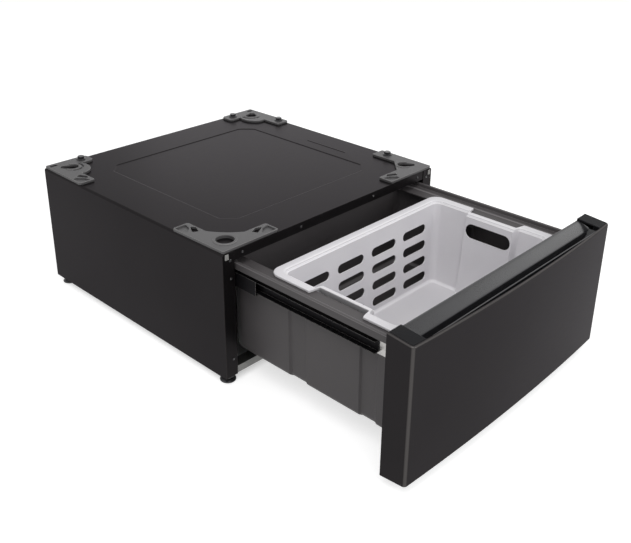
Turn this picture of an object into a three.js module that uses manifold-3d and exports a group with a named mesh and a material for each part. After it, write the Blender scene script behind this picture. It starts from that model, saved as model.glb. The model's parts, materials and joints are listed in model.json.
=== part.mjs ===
// A washer pedestal with a storage drawer, shown drawn out, and a loose laundry basket in the drawer.
// Millimetres. X runs across, Y from front to back, Z up. Heights are measured from the lower edge
// of the cabinet, except on the feet, which are measured from the floor.

import * as THREE from "three";
import { mergeVertices } from "three/addons/utils/BufferGeometryUtils.js";
import Module from "manifold-3d";

const wasm = await Module();
wasm.setup();

// ---------------------------------------------------------------- driving dimensions

const seat = 0.3; // clearance between two pieces that rest on each other

const cabinet = { width: 737, depth: 722, height: 317, sheet: 1.2, bend: 6, backInset: 1.3 };

const stamping = { side: 118, front: 118, back: 112, chamfer: 32, drop: 1.5, slope: 3 };
const bead = { fromSide: 78, start: 243, end: 391, width: 6, height: 1 };

const column = { face: 33.7, gauge: 1.2, returnDepth: 36, sideDepth: 30, plateDepth: 48, setback: 0.3 };
const rearColumn = { width: 27, depth: 34 };

const topRail = { drop: 25, gauge: 1.2, setback: 2, shelf: 40, lip: 14 };
const bottomRail = { height: 18, gauge: 1.2, setback: 1.5, flange: 30, lift: 3.5 };
const baseRail = { height: 18, gauge: 1.2, flange: 14 };

const foot = {
  lift: 20, // floor to the cabinet's lower edge
  inset: 24, // stud centre behind the cabinet's front plane and before its back plane
  fromSide: 23.5,
  padRadius: 19,
  padHeight: 8,
  hexFlats: 24,
  hexTop: 16,
  studRadius: 5,
  studTop: 46,
  boreClearance: 0.3,
  nutFlats: 17,
};

const bracket = {
  thick: 6,
  sideArm: 172,
  frontArm: 168,
  rearArm: 124,
  width: 45,
  margin: 1,
  lobe: { u: 52, v: 66, across: 38, along: 46 }, // the rounded bulge of a rear bracket
  chamfer: 48, // across the inner corner of a front bracket with a keyhole
  ring: { width: 6, height: 1.6 },
  hole: { u: 50, v: 56, radius: 17 },
  roundHole: { u: 45, v: 43, radius: 21 },
};
const bolt = { shank: 4, washer: 10, washerHeight: 2, flats: 14, headHeight: 7, length: 12, clearance: 0.3 };
const screw = { head: 3.4, headHeight: 1.5, shank: 1.7, length: 7, clearance: 0.3 };
const railScrew = { fromColumn: 24.8, inner: 129, fromTop: 13 };
const columnScrew = { fromSide: 22.5, lowest: 47, middleFromTop: 65, fromTop: 21 };
const bumper = { width: 10, height: 13, thick: 2.2, fromSide: 6.5, fromTop: 3 };

const travel = 446; // how far the drawer comes out
const closedGap = 3; // between the drawer front and the cabinet when shut

const slide = {
  fromTop: 73.5, // from the cabinet's top to the slide's middle
  gauge: 1.2,
  thick: 22.1,
  webRace: 2.8, // between the cabinet member's web and the intermediate member's
  ballRace: 2.6, // between one member's lip and the next
  drawerHeight: 27,
  lip: 13.5,
  cabinetStart: 12,
  cabinetLength: 500,
  middleFront: 61, // how far the intermediate member stands out of the cabinet
  middleLength: 340,
  drawerFront: 59, // drawer member's front end behind the drawer front
  drawerLength: 440,
};
const cage = { gauge: 0.7, ball: 1.15, length: 100, balls: 5, outerStart: 60, innerStart: -55 };
const hanger = { length: 60, foot: 28, gauge: 1.2 };

const sideRail = { gauge: 1.5, skirt: 47, flange: 15.7, slideGap: 0.6 };

const tub = {
  depth: 503.7,
  wall: 3,
  bottom: 45,
  fromTop: 33, // from the cabinet's top to the rim
  ledgeDrop: 10, // from the rim's top to the ledge inside it
  skirtDrop: 16, // from the rim's top to the skirt's lower edge
  rimOut: 20, // from the wall to the skirt's outer face
  ridge: 8,
  corner: 40,
  frontCorner: 12,
  frontTrim: 1, // how far the front wall stands behind the trimmed rim
  draft: 4,
  edge: 14, // rounding between wall and floor
  flute: { depth: 5, drop: 60, runOut: 6, slope: 5, places: [{ from: 65, to: 112 }, { from: 258, to: 312 }] },
};

const front = {
  over: 7, // how far the front stands above the cabinet
  thickEnd: 62, // at the ends, from the rear plane to the front face
  bow: 11,
  cornerRadius: 8,
  frontDrop: 6, // how much lower the top is at the front face than at the rear
  frontRise: 6,
  sheet: 1.5,
  lipWidth: 5,
};
const grip = { wall: 3, rearDrop: 5, ridge: 5, slopeRun: 28, slopeDrop: 15, floor: 39, base: 43, slack: 0.5 };
const cap = { width: 41, plateau: 24, recess: { deep: 17, roof: 6.5, narrow: 9, start: 11, end: 43 } };
const panel = { thick: 3, bottom: 3 };

const basket = {
  wall: 2.6,
  sideGap: 9, // rim to the tub's inner wall
  back: 115, // free travel behind the rim, up to the tub's back wall
  depth: 366,
  rimDrop: 6, // below the tub's rim
  rimThick: 6,
  rimWidth: 22,
  foot: 6.5,
  draftSide: 22,
  draftEnd: 16,
  corner: 26,
  notch: { from: 121, to: 269, depth: 17, rimDepth: 27, slope: 6 },
  slot: { length: 92, height: 24, columns: 4, pitch: 120, rows: 4, lift: 37, drop: 61 },
  handle: { length: 128, height: 40, drop: 40 },
};

// ---------------------------------------------------------------- places worked out from them

const halfWidth = cabinet.width / 2;
const openHalf = halfWidth - column.face; // half the opening between the front columns
const innerHalf = halfWidth - cabinet.sheet - 0.4; // what fits between the wrap's sides
const underTop = cabinet.height - cabinet.sheet - seat; // what fits under the top sheet
const footX = halfWidth - foot.fromSide;

const slideCentre = cabinet.height - slide.fromTop;
const frontHeight = cabinet.height + front.over;
const frontRear = -(travel + closedGap); // rear plane of the drawer front, drawn out
const frontEnd = frontRear - front.thickEnd;
const frontFace = frontEnd - front.bow;

const slideOuter = openHalf - seat; // outer face of the cabinet member
const slideInner = slideOuter - slide.thick;
const railOuter = slideInner - sideRail.slideGap;
const tubHalf = railOuter - sideRail.gauge - seat;
const drawerHalfHeight = slide.drawerHeight / 2;
const middleHalfHeight = drawerHalfHeight + slide.ballRace + slide.gauge;
const cabinetHalfHeight = middleHalfHeight + slide.ballRace + slide.gauge;

const tubFront = frontRear + seat;
const tubBack = tubFront + tub.depth;
const tubRim = cabinet.height - tub.fromTop;
const ledge = tubRim - tub.ledgeDrop;
const ledgeUnder = ledge - tub.wall;
const skirtBottom = tubRim - tub.skirtDrop;

const gripBase = frontHeight - grip.base;

const bodyShift = (-frontFace - cabinet.depth) / 2; // puts the origin under the middle of the whole

// ---------------------------------------------------------------- finishes

const finishes = {
  blackSteel: { color: 0x2c2b2d, roughness: 0.38, metalness: 0.55 },
  blackTrim: { color: 0x252428, roughness: 0.42, metalness: 0.2 },
  galvanised: { color: 0xa9a9a8, roughness: 0.42, metalness: 0.85 },
  zinc: { color: 0xd6d4d2, roughness: 0.3, metalness: 0.9 },
  slideSteel: { color: 0x1f1e20, roughness: 0.4, metalness: 0.75 },
  greyBracket: { color: 0x8a8a89, roughness: 0.55, metalness: 0.15 },
  greyTub: { color: 0x5b5855, roughness: 0.6, metalness: 0 },
  whitePlastic: { color: 0xdfdde0, roughness: 0.45, metalness: 0 },
  darkSteel: { color: 0x3a3a3c, roughness: 0.35, metalness: 0.8 },
  paleRubber: { color: 0xd8d6d2, roughness: 0.8, metalness: 0 },
};

// ---------------------------------------------------------------- outlines

const at = (x, y) => new THREE.Vector2(x, y);

function box(x0, y0, x1, y1) {
  return [at(x0, y0), at(x1, y0), at(x1, y1), at(x0, y1)];
}

function arc(cx, cy, radius, start, end, steps) {
  return Array.from({ length: steps + 1 }, (_, i) => {
    const a = start + ((end - start) * i) / steps;
    return at(cx + radius * Math.cos(a), cy + radius * Math.sin(a));
  });
}

function circle(cx, cy, radius, steps) {
  return arc(cx, cy, radius, 0, 2 * Math.PI, steps).slice(0, -1);
}

function hexagon(cx, cy, flats) {
  return circle(cx, cy, flats / Math.sqrt(3), 6);
}

function stadium(cx, cy, length, height, steps = 5) {
  const r = height / 2;
  const reach = length / 2 - r;
  return [
    ...arc(cx + reach, cy, r, -Math.PI / 2, Math.PI / 2, steps),
    ...arc(cx - reach, cy, r, Math.PI / 2, (3 * Math.PI) / 2, steps),
  ];
}

// The outline of a sheet of one gauge that follows an open path, on the path's left side.
function sheetAlong(path, gauge) {
  const offset = path.map((p, i) => {
    const before = i > 0 ? path[i].clone().sub(path[i - 1]).normalize() : null;
    const after = i < path.length - 1 ? path[i + 1].clone().sub(path[i]).normalize() : null;
    const one = before ?? after;
    const two = after ?? before;
    const left = at(-one.y - two.y, one.x + two.x).normalize();
    const stretch = gauge / left.dot(at(-one.y, one.x));
    return p.clone().addScaledVector(left, stretch);
  });
  return [...path, ...offset.reverse()];
}

// ---------------------------------------------------------------- solids

function solidOf(geometry) {
  const bare = geometry.index ? geometry.toNonIndexed() : geometry.clone();
  bare.deleteAttribute("normal");
  bare.deleteAttribute("uv");
  const merged = mergeVertices(bare, 1e-4);
  return new wasm.Manifold(
    new wasm.Mesh({
      numProp: 3,
      vertProperties: merged.attributes.position.array,
      triVerts: new Uint32Array(merged.index.array),
    }),
  );
}

function geometryOf(solid) {
  const mesh = solid.getMesh();
  const geometry = new THREE.BufferGeometry()
    .setAttribute("position", new THREE.BufferAttribute(new Float32Array(mesh.vertProperties), 3))
    .setIndex(new THREE.BufferAttribute(new Uint32Array(mesh.triVerts), 1))
    .toNonIndexed();
  geometry.computeVertexNormals();
  return geometry;
}

const X = new THREE.Vector3(1, 0, 0);
const Y = new THREE.Vector3(0, 1, 0);
const Z = new THREE.Vector3(0, 0, 1);
const bases = {
  x: new THREE.Matrix4().makeBasis(Y, Z, X),
  y: new THREE.Matrix4().makeBasis(X, Z, Y.clone().negate()),
  z: new THREE.Matrix4(),
};

// A prism whose outline lies across an axis: (y, z) across x, (x, z) across y, (x, y) across z.
function prism(axis, outline, from, to) {
  const geometry = new THREE.ExtrudeGeometry(new THREE.Shape(outline), {
    depth: to - from,
    bevelEnabled: false,
  }).applyMatrix4(bases[axis]);
  const start = axis === "x" ? [from, 0, 0] : axis === "y" ? [0, to, 0] : [0, 0, from];
  return solidOf(geometry.translate(...start));
}

// A turned solid about a line along Z, Y or X, from (radius, height) pairs that start and end at 0.
function turned(axis, profile, place, steps) {
  const geometry = new THREE.LatheGeometry(profile.map(([r, h]) => at(r, h)), steps);
  geometry.rotateX(Math.PI / 2);
  if (axis === "-y") geometry.rotateX(Math.PI / 2);
  return solidOf(geometry.translate(...place));
}

// A closed skin through rings of equal count, from its lower cap to its upper one.
function loft(rings) {
  const points = [];
  const index = [];
  const count = rings[0].outline.length;
  for (const { outline, z } of rings) for (const p of outline) points.push(p.x, p.y, z);
  for (let r = 0; r < rings.length - 1; r++) {
    for (let i = 0; i < count; i++) {
      const next = (i + 1) % count;
      const [a, b] = [r * count + i, r * count + next];
      const [c, d] = [a + count, b + count];
      index.push(a, b, d, a, d, c);
    }
  }
  const top = (rings.length - 1) * count;
  const first = THREE.ShapeUtils.triangulateShape(rings[0].outline, []);
  const last = THREE.ShapeUtils.triangulateShape(rings.at(-1).outline, []);
  for (const [a, b, c] of first) index.push(c, b, a);
  for (const [a, b, c] of last) index.push(top + a, top + b, top + c);
  const geometry = new THREE.BufferGeometry();
  geometry.setAttribute("position", new THREE.Float32BufferAttribute(points, 3));
  geometry.setIndex(index);
  return solidOf(geometry);
}

const joined = (first, ...others) => others.reduce((sum, s) => sum.add(s), first);
const cut = (first, ...others) => others.reduce((rest, s) => rest.subtract(s), first);

// ---------------------------------------------------------------- the assembly's group

const pedestal = new THREE.Group();
const body = new THREE.Group();
body.position.set(0, bodyShift, foot.lift);
pedestal.add(body);
const floorLevel = new THREE.Group();
floorLevel.position.set(0, bodyShift, 0);
pedestal.add(floorLevel);

function place(name, solid, finish, parent = body) {
  const mesh = new THREE.Mesh(geometryOf(solid), new THREE.MeshStandardMaterial(finishes[finish]));
  mesh.name = name;
  parent.add(mesh);
}

const sides = [
  ["left", -1],
  ["right", 1],
];
const mirrored = (outline, sign) => outline.map((p) => at(sign * p.x, p.y));

// ---------------------------------------------------------------- fasteners

// Rail and column screws point along +Y; their heads stand proud at the front.
const outerScrew = openHalf - railScrew.fromColumn;
const railScrews = [-outerScrew, -railScrew.inner, railScrew.inner, outerScrew].map((x) => ({
  x,
  z: cabinet.height - railScrew.fromTop,
}));
const columnScrewX = halfWidth - columnScrew.fromSide;
const columnScrews = [
  columnScrew.lowest,
  cabinet.height - columnScrew.middleFromTop,
  cabinet.height - columnScrew.fromTop,
];

function screwSolid(x, faceY, z) {
  const { head, headHeight, shank, length } = screw;
  const profile = [
    [0, -length],
    [shank, -length],
    [shank, 0],
    [head, 0],
    [head * 0.8, headHeight * 0.75],
    [0, headHeight],
  ];
  return turned("-y", profile, [x, faceY - seat, z], 10);
}

function screwBore(x, y, z) {
  return prism("y", circle(x, z, screw.shank + screw.clearance, 10), y - 4, y + 4);
}

// Corner brackets are laid out from their corner: u inward across, v inward along the depth.
const corners = [
  { name: "front_left", side: -1, rear: false, style: "round", bolts: [] },
  { name: "front_right", side: 1, rear: false, style: "keyhole", bolts: [{ u: 20, v: 138 }] },
  { name: "rear_left", side: -1, rear: true, style: "lobed", bolts: [{ u: 98, v: 22 }] },
  {
    name: "rear_right",
    side: 1,
    rear: true,
    style: "lobed",
    bolts: [
      { u: 96, v: 22 },
      { u: 20, v: 149 },
    ],
  },
];
const fromCorner = ({ side, rear }, u, v) => at(side * (halfWidth - u), rear ? cabinet.depth - v : v);
const boltPlaces = corners.flatMap((corner) => corner.bolts.map(({ u, v }) => fromCorner(corner, u, v)));

// ---------------------------------------------------------------- cabinet

function stampedField(grow, top, bottom, slope) {
  const { side, front: before, back, chamfer } = stamping;
  const ring = (inset) => {
    const x = halfWidth - side - inset;
    const y0 = before + inset;
    const y1 = cabinet.depth - back - inset;
    const c = chamfer;
    return [
      at(-x + c, y0),
      at(x - c, y0),
      at(x, y0 + c),
      at(x, y1 - c),
      at(x - c, y1),
      at(-x + c, y1),
      at(-x, y1 - c),
      at(-x, y0 + c),
    ];
  };
  return loft([
    { outline: ring(slope - grow), z: bottom },
    { outline: ring(-grow), z: top },
  ]);
}

// The line of the wrap seen from the front, up one side, over the top and down the other.
function wrapLine(inset, bottom = 0) {
  const r = cabinet.bend - inset;
  const half = halfWidth - inset;
  const top = cabinet.height - inset;
  return [
    at(half, bottom),
    ...arc(half - r, top - r, r, 0, Math.PI / 2, 5),
    ...arc(-half + r, top - r, r, Math.PI / 2, Math.PI, 5),
    at(-half, bottom),
  ];
}

const underWrap = prism("y", wrapLine(cabinet.sheet + seat, -5), -10, cabinet.depth + 10);

function wrapSolid() {
  const { height, sheet, depth } = cabinet;
  const outline = [...wrapLine(0), ...wrapLine(sheet).reverse()];
  const { drop, slope } = stamping;
  const under = height - sheet - drop;
  const beadX = halfWidth - bead.fromSide;
  const beadSection = [
    at(beadX - bead.width / 2, height - sheet / 2),
    at(beadX + bead.width / 2, height - sheet / 2),
    at(beadX + bead.width / 4, height + bead.height),
    at(beadX - bead.width / 4, height + bead.height),
  ];
  const bores = boltPlaces.map((p) =>
    prism("z", circle(p.x, p.y, bolt.shank + bolt.clearance, 12), height - 10, height + 10),
  );
  return cut(
    joined(
      prism("y", outline, 0, depth),
      stampedField(sheet, height - sheet / 2, under, slope),
      prism("y", beadSection, bead.start, bead.end),
    ),
    stampedField(0, height + drop, height - drop, 2 * slope),
    ...bores,
  );
}

function backPanelSolid() {
  const y = cabinet.depth - cabinet.backInset;
  const sheet = prism("y", box(-innerHalf, 1, innerHalf, underTop), y - cabinet.sheet, y);
  const ribs = [0.3, 0.62].map((share) => {
    const z = cabinet.height * share;
    const inward = y - cabinet.sheet;
    const section = [
      at(inward + 0.5, z - 8),
      at(inward + 0.5, z + 8),
      at(inward - 2.5, z + 4),
      at(inward - 2.5, z - 4),
    ];
    return prism("x", section, -innerHalf + 90, innerHalf - 90);
  });
  return joined(sheet, ...ribs).intersect(underWrap);
}

function frontColumnSolid(sign) {
  const { gauge, returnDepth, sideDepth, plateDepth, setback } = column;
  const path = [
    at(innerHalf, setback + sideDepth),
    at(innerHalf, setback),
    at(openHalf, setback),
    at(openHalf, setback + returnDepth),
  ];
  const section = mirrored(sheetAlong(path, -gauge), sign);
  const plate = mirrored(box(openHalf, setback, innerHalf, setback + plateDepth), sign);
  const post = joined(prism("z", section, 2, underTop), prism("z", plate, 2, 2 + gauge));
  const stud = circle(sign * footX, foot.inset, foot.studRadius + foot.boreClearance, 16);
  const bores = columnScrews.map((z) => screwBore(sign * columnScrewX, setback + gauge / 2, z));
  return cut(post, prism("z", stud, 0, 2 + 2 * gauge), ...bores).intersect(underWrap);
}

function rearColumnSolid(sign) {
  const { gauge, plateDepth } = column;
  const back = cabinet.depth - cabinet.backInset - cabinet.sheet - seat;
  const path = [
    at(innerHalf, back - rearColumn.depth),
    at(innerHalf, back),
    at(innerHalf - rearColumn.width, back),
  ];
  const section = mirrored(sheetAlong(path, gauge), sign);
  const plate = mirrored(box(openHalf, back - plateDepth, innerHalf, back), sign);
  const stud = circle(sign * footX, cabinet.depth - foot.inset, foot.studRadius + foot.boreClearance, 16);
  const post = joined(prism("z", section, 2, underTop), prism("z", plate, 2, 2 + gauge));
  return cut(post, prism("z", stud, 0, 2 + 2 * gauge)).intersect(underWrap);
}

function topRailSolid() {
  const { drop, gauge, setback, shelf, lip } = topRail;
  const top = underTop;
  const bottom = cabinet.height - drop;
  const path = [at(setback + lip, bottom), at(setback, bottom), at(setback, top), at(setback + shelf, top)];
  const rail = prism("x", sheetAlong(path, -gauge), -openHalf + seat, openHalf - seat);
  return cut(rail, ...railScrews.map(({ x, z }) => screwBore(x, setback + gauge / 2, z)));
}

function crossRailSolid(faceY, flange) {
  const { height, gauge, lift } = bottomRail;
  const path = [at(faceY + flange, lift), at(faceY, lift), at(faceY, lift + height), at(faceY + flange, lift + height)];
  return prism("x", sheetAlong(path, flange > 0 ? -gauge : gauge), -openHalf + seat, openHalf - seat);
}

function baseRailSolid(sign) {
  const { height, gauge, flange } = baseRail;
  const z = 2;
  const x = innerHalf;
  const path = [at(x - flange, z), at(x, z), at(x, z + height), at(x - flange, z + height)];
  const start = column.setback + column.plateDepth + seat;
  const end = cabinet.depth - cabinet.backInset - cabinet.sheet - column.plateDepth - 2 * seat;
  return prism("y", mirrored(sheetAlong(path, gauge), sign), start, end);
}

place("cabinet_wrap", wrapSolid(), "blackSteel");
place("back_panel", backPanelSolid(), "galvanised");
place("front_top_rail", topRailSolid(), "blackSteel");
place("front_bottom_rail", crossRailSolid(bottomRail.setback, bottomRail.flange), "galvanised");
place(
  "rear_bottom_rail",
  crossRailSolid(cabinet.depth - cabinet.backInset - cabinet.sheet - seat, -bottomRail.flange),
  "galvanised",
);
for (const [side, sign] of sides) {
  place(`base_rail_${side}`, baseRailSolid(sign), "galvanised");
  place(`front_column_${side}`, frontColumnSolid(sign), "blackSteel");
  place(`rear_column_${side}`, rearColumnSolid(sign), "galvanised");
}
railScrews.forEach(({ x, z }, i) => {
  place(`rail_screw_${i + 1}`, screwSolid(x, topRail.setback, z), "darkSteel");
});
for (const [side, sign] of sides) {
  columnScrews.forEach((z, i) => {
    place(`column_screw_${side}_${i + 1}`, screwSolid(sign * columnScrewX, column.setback, z), "darkSteel");
  });
  const outer = halfWidth - bumper.fromSide;
  const top = cabinet.height - bumper.fromTop;
  const outline = mirrored(box(outer - bumper.width, top - bumper.height, outer, top), sign);
  const face = column.setback - seat;
  place(`bumper_pad_${side}`, prism("y", outline, face - bumper.thick, face), "paleRubber");
}

// ---------------------------------------------------------------- levelling feet

for (const [side, sign] of sides) {
  for (const [end, y] of [
    ["front", foot.inset],
    ["rear", cabinet.depth - foot.inset],
  ]) {
    const x = sign * footX;
    const pad = turned(
      "z",
      [
        [0, 0],
        [foot.padRadius - 1.5, 0],
        [foot.padRadius, 1.5],
        [foot.padRadius, foot.padHeight - 3],
        [foot.padRadius - 4, foot.padHeight],
        [0, foot.padHeight],
      ],
      [x, y, 0],
      20,
    );
    const hex = prism("z", hexagon(x, y, foot.hexFlats), foot.padHeight - 1, foot.hexTop);
    const stud = prism("z", circle(x, y, foot.studRadius, 12), foot.hexTop - 1, foot.studTop);
    place(`levelling_foot_${end}_${side}`, joined(pad, hex, stud), "darkSteel", floorLevel);

    const nutTop = foot.lift + 2 - seat;
    const nut = prism("z", hexagon(x, y, foot.nutFlats), foot.hexTop + seat, nutTop);
    const bore = circle(x, y, foot.studRadius + foot.boreClearance, 12);
    place(`foot_lock_nut_${end}_${side}`, cut(nut, prism("z", bore, 0, nutTop + 1)), "zinc", floorLevel);
  }
}

// ---------------------------------------------------------------- corner brackets

function bracketOutline(corner) {
  const { width, margin, sideArm, frontArm, rearArm } = bracket;
  const across = corner.rear ? rearArm : frontArm;
  const bevel = corner.rear ? 12 : 6;
  const curve = new THREE.QuadraticBezierCurve(
    at(width * 2.3, width),
    at(width * 1.5, width * 1.5),
    at(width, width * 2.4),
  );
  const innerCorner = {
    round: () => curve.getPoints(6),
    keyhole: () => [at(width + bracket.chamfer, width), at(width, width + bracket.chamfer)],
    lobed: () => [at(width, width)],
  };
  return [
    at(margin + 3, margin),
    at(across - bevel, margin),
    at(across, margin + bevel),
    at(across, width - bevel),
    at(across - bevel, width),
    ...innerCorner[corner.style](),
    at(width, sideArm - bevel),
    at(width - bevel, sideArm),
    at(margin + bevel, sideArm),
    at(margin, sideArm - bevel),
    at(margin, margin + 3),
  ];
}

function bracketSolid(corner) {
  const low = cabinet.height + seat;
  const top = low + bracket.thick;
  const { lobe, ring, width } = bracket;
  const hole = corner.style === "round" ? bracket.roundHole : bracket.hole;
  const laid = (outline, from, to) => prism("z", outline.map((p) => fromCorner(corner, p.x, p.y)), from, to);
  const plates = [laid(bracketOutline(corner), low, top)];
  if (corner.style === "lobed") {
    const bulge = circle(0, 0, 1, 32).map((p) => at(lobe.u + p.x * lobe.across, lobe.v + p.y * lobe.along));
    plates.push(laid(bulge, low, top));
  }
  plates.push(laid(circle(hole.u, hole.v, hole.radius + ring.width, 24), low, top + ring.height));

  const across = corner.rear ? bracket.rearArm : bracket.frontArm;
  const windowAt = (u, v, length, height) => box(u - length / 2, v - height / 2, u + length / 2, v + height / 2);
  const cuts = [laid(circle(hole.u, hole.v, hole.radius, 24), low - 1, top + 5)];
  if (corner.style !== "round") {
    const point = [
      at(hole.u + 6, hole.v - 15),
      at(hole.u - 15, hole.v + 6),
      at(hole.u - 32, hole.v - 20),
      at(hole.u - 22, hole.v - 30),
    ];
    cuts.push(laid(point, low - 1, top + 5));
  }
  if (corner.rear) cuts.push(laid(windowAt(15, 16, 14, 7), low - 1, top + 5));
  const boltOnSide = corner.bolts.some((b) => b.v > width);
  const boltAcross = corner.bolts.some((b) => b.u > width);
  const slanted = (u, v, length, height) => {
    const lean = Math.min(length, height) / 2;
    return [
      at(u - length / 2, v - height / 2),
      at(u + length / 2 - lean, v - height / 2),
      at(u + length / 2, v + height / 2),
      at(u - length / 2 + lean, v + height / 2),
    ];
  };
  if (!boltOnSide) {
    cuts.push(laid(slanted(26, bracket.sideArm - 46, 22, 10), low - 1, top + 5));
    cuts.push(laid(slanted(22, bracket.sideArm - 26, 24, 12), low - 1, top + 5));
  }
  if (!boltAcross) {
    cuts.push(laid(slanted(across - 46, 27, 12, 20), low - 1, top + 5));
    cuts.push(laid(slanted(across - 27, 22, 12, 24), low - 1, top + 5));
  }
  for (const { u, v } of corner.bolts) {
    cuts.push(laid(circle(u, v, bolt.shank + bolt.clearance, 12), low - 1, top + 5));
  }
  return cut(joined(...plates), ...cuts);
}

for (const corner of corners) {
  place(`corner_bracket_${corner.name}`, bracketSolid(corner), "greyBracket");
  corner.bolts.forEach(({ u, v }, i) => {
    const p = fromCorner(corner, u, v);
    const foothold = cabinet.height + bracket.thick + 2 * seat;
    const washerTop = foothold + bolt.washerHeight;
    const washer = turned(
      "z",
      [
        [0, 0],
        [bolt.washer, 0],
        [bolt.washer, 0.8],
        [bolt.washer - 2.5, bolt.washerHeight],
        [0, bolt.washerHeight],
      ],
      [p.x, p.y, foothold],
      16,
    );
    const head = prism("z", hexagon(p.x, p.y, bolt.flats), washerTop - 0.5, washerTop + bolt.headHeight);
    const shank = prism("z", circle(p.x, p.y, bolt.shank, 12), cabinet.height - bolt.length, foothold + 1);
    const suffix = corner.bolts.length > 1 ? `_${i + 1}` : "";
    place(`bracket_bolt_${corner.name}${suffix}`, joined(shank, washer, head), "darkSteel");
  });
}

// ---------------------------------------------------------------- slides

// A channel with its web at one X and its lips reaching towards another.
function channel(webX, lipX, halfHeight, sign, from, to) {
  const path = [
    at(lipX, slideCentre + halfHeight),
    at(webX, slideCentre + halfHeight),
    at(webX, slideCentre - halfHeight),
    at(lipX, slideCentre - halfHeight),
  ];
  const turn = lipX < webX ? -slide.gauge : slide.gauge;
  return prism("y", mirrored(sheetAlong(path, turn), sign), from, to);
}

function ballCage(webX, lipX, lipZ, ballX, sign, from) {
  const { gauge, ball, length, balls } = cage;
  const half = lipZ + gauge / 2;
  const path = [
    at(lipX, slideCentre + half),
    at(webX, slideCentre + half),
    at(webX, slideCentre - half),
    at(lipX, slideCentre - half),
  ];
  const strip = prism("y", mirrored(sheetAlong(path, -gauge), sign), from, from + length);
  const pitch = length / balls;
  const set = [];
  for (let i = 0; i < balls; i++) {
    for (const z of [slideCentre - lipZ, slideCentre + lipZ]) {
      const geometry = new THREE.IcosahedronGeometry(ball);
      set.push(solidOf(geometry.translate(sign * ballX, from + pitch * (i + 0.5), z)));
    }
  }
  return joined(strip, ...set);
}

const middleWeb = slideOuter - slide.gauge - slide.webRace;
const outerBallZ = middleHalfHeight + slide.ballRace / 2;
const innerBallZ = drawerHalfHeight + slide.ballRace / 2;

for (const [side, sign] of sides) {
  const cabinetEnd = slide.cabinetStart + slide.cabinetLength;
  place(
    `slide_cabinet_member_${side}`,
    channel(slideOuter, slideOuter - slide.lip, cabinetHalfHeight, sign, slide.cabinetStart, cabinetEnd),
    "slideSteel",
  );
  place(
    `slide_intermediate_member_${side}`,
    channel(
      middleWeb,
      middleWeb - slide.lip,
      middleHalfHeight,
      sign,
      -slide.middleFront,
      slide.middleLength - slide.middleFront,
    ),
    "slideSteel",
  );
  const drawerStart = frontRear + slide.drawerFront;
  place(
    `slide_drawer_member_${side}`,
    channel(slideInner, slideInner + slide.lip, drawerHalfHeight, sign, drawerStart, drawerStart + slide.drawerLength),
    "slideSteel",
  );
  place(
    `slide_ball_cage_outer_${side}`,
    ballCage(middleWeb + 1.8, middleWeb - 10.5, outerBallZ, middleWeb - 4.5, sign, cage.outerStart),
    "zinc",
  );
  place(
    `slide_ball_cage_inner_${side}`,
    ballCage(middleWeb - 2.5, middleWeb - 12.5, innerBallZ, middleWeb - 8.5, sign, cage.innerStart),
    "zinc",
  );

  const hangerStart = cabinetEnd - hanger.length;
  const hangerPath = [
    at(openHalf, hangerStart),
    at(openHalf, cabinetEnd),
    at(innerHalf - hanger.gauge, cabinetEnd),
    at(innerHalf - hanger.gauge, cabinetEnd + hanger.foot),
  ];
  place(
    `slide_hanger_${side}`,
    prism(
      "z",
      mirrored(sheetAlong(hangerPath, -hanger.gauge), sign),
      slideCentre - cabinetHalfHeight,
      slideCentre + cabinetHalfHeight,
    ),
    "galvanised",
  );
}

// ---------------------------------------------------------------- drawer

for (const [side, sign] of sides) {
  const top = ledgeUnder - seat;
  const path = [
    at(railOuter, top - sideRail.skirt),
    at(railOuter, top - sideRail.gauge),
    at(railOuter + sideRail.flange - sideRail.gauge, top - sideRail.gauge),
  ];
  const section = mirrored(sheetAlong(path, sideRail.gauge), sign);
  const web = mirrored(box(railOuter - sideRail.gauge, path[0].y, railOuter, top), sign);
  const rail = joined(prism("y", section, tubFront, tubBack - tub.corner), prism("y", web, tubFront, tubBack - 3));
  place(`drawer_side_rail_${side}`, rail, "zinc");
}

// The tub's outline at one level, grown or shrunk all round; the front is trimmed flat later.
function tubOutline(out, fluteDepth) {
  const half = tubHalf + out;
  const y0 = tubFront + tub.frontTrim - out;
  const y1 = tubBack + out;
  const r = Math.max(tub.corner + out, 6);
  const small = out > 0 ? 3 : Math.max(tub.frontCorner + out, 4);
  const sideLine = tub.flute.places.flatMap(({ from, to }) => {
    const slope = tub.flute.slope;
    return [
      at(half, tubFront + from),
      at(half - fluteDepth, tubFront + from + slope),
      at(half - fluteDepth, tubFront + to - slope),
      at(half, tubFront + to),
    ];
  });
  const right = [
    ...arc(half - small, y0 + small, small, -Math.PI / 2, 0, 3),
    ...sideLine,
    ...arc(half - r, y1 - r, r, 0, Math.PI / 2, 6),
  ];
  const left = right.map((p) => at(-p.x, p.y)).reverse();
  return [...right, ...left];
}

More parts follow.
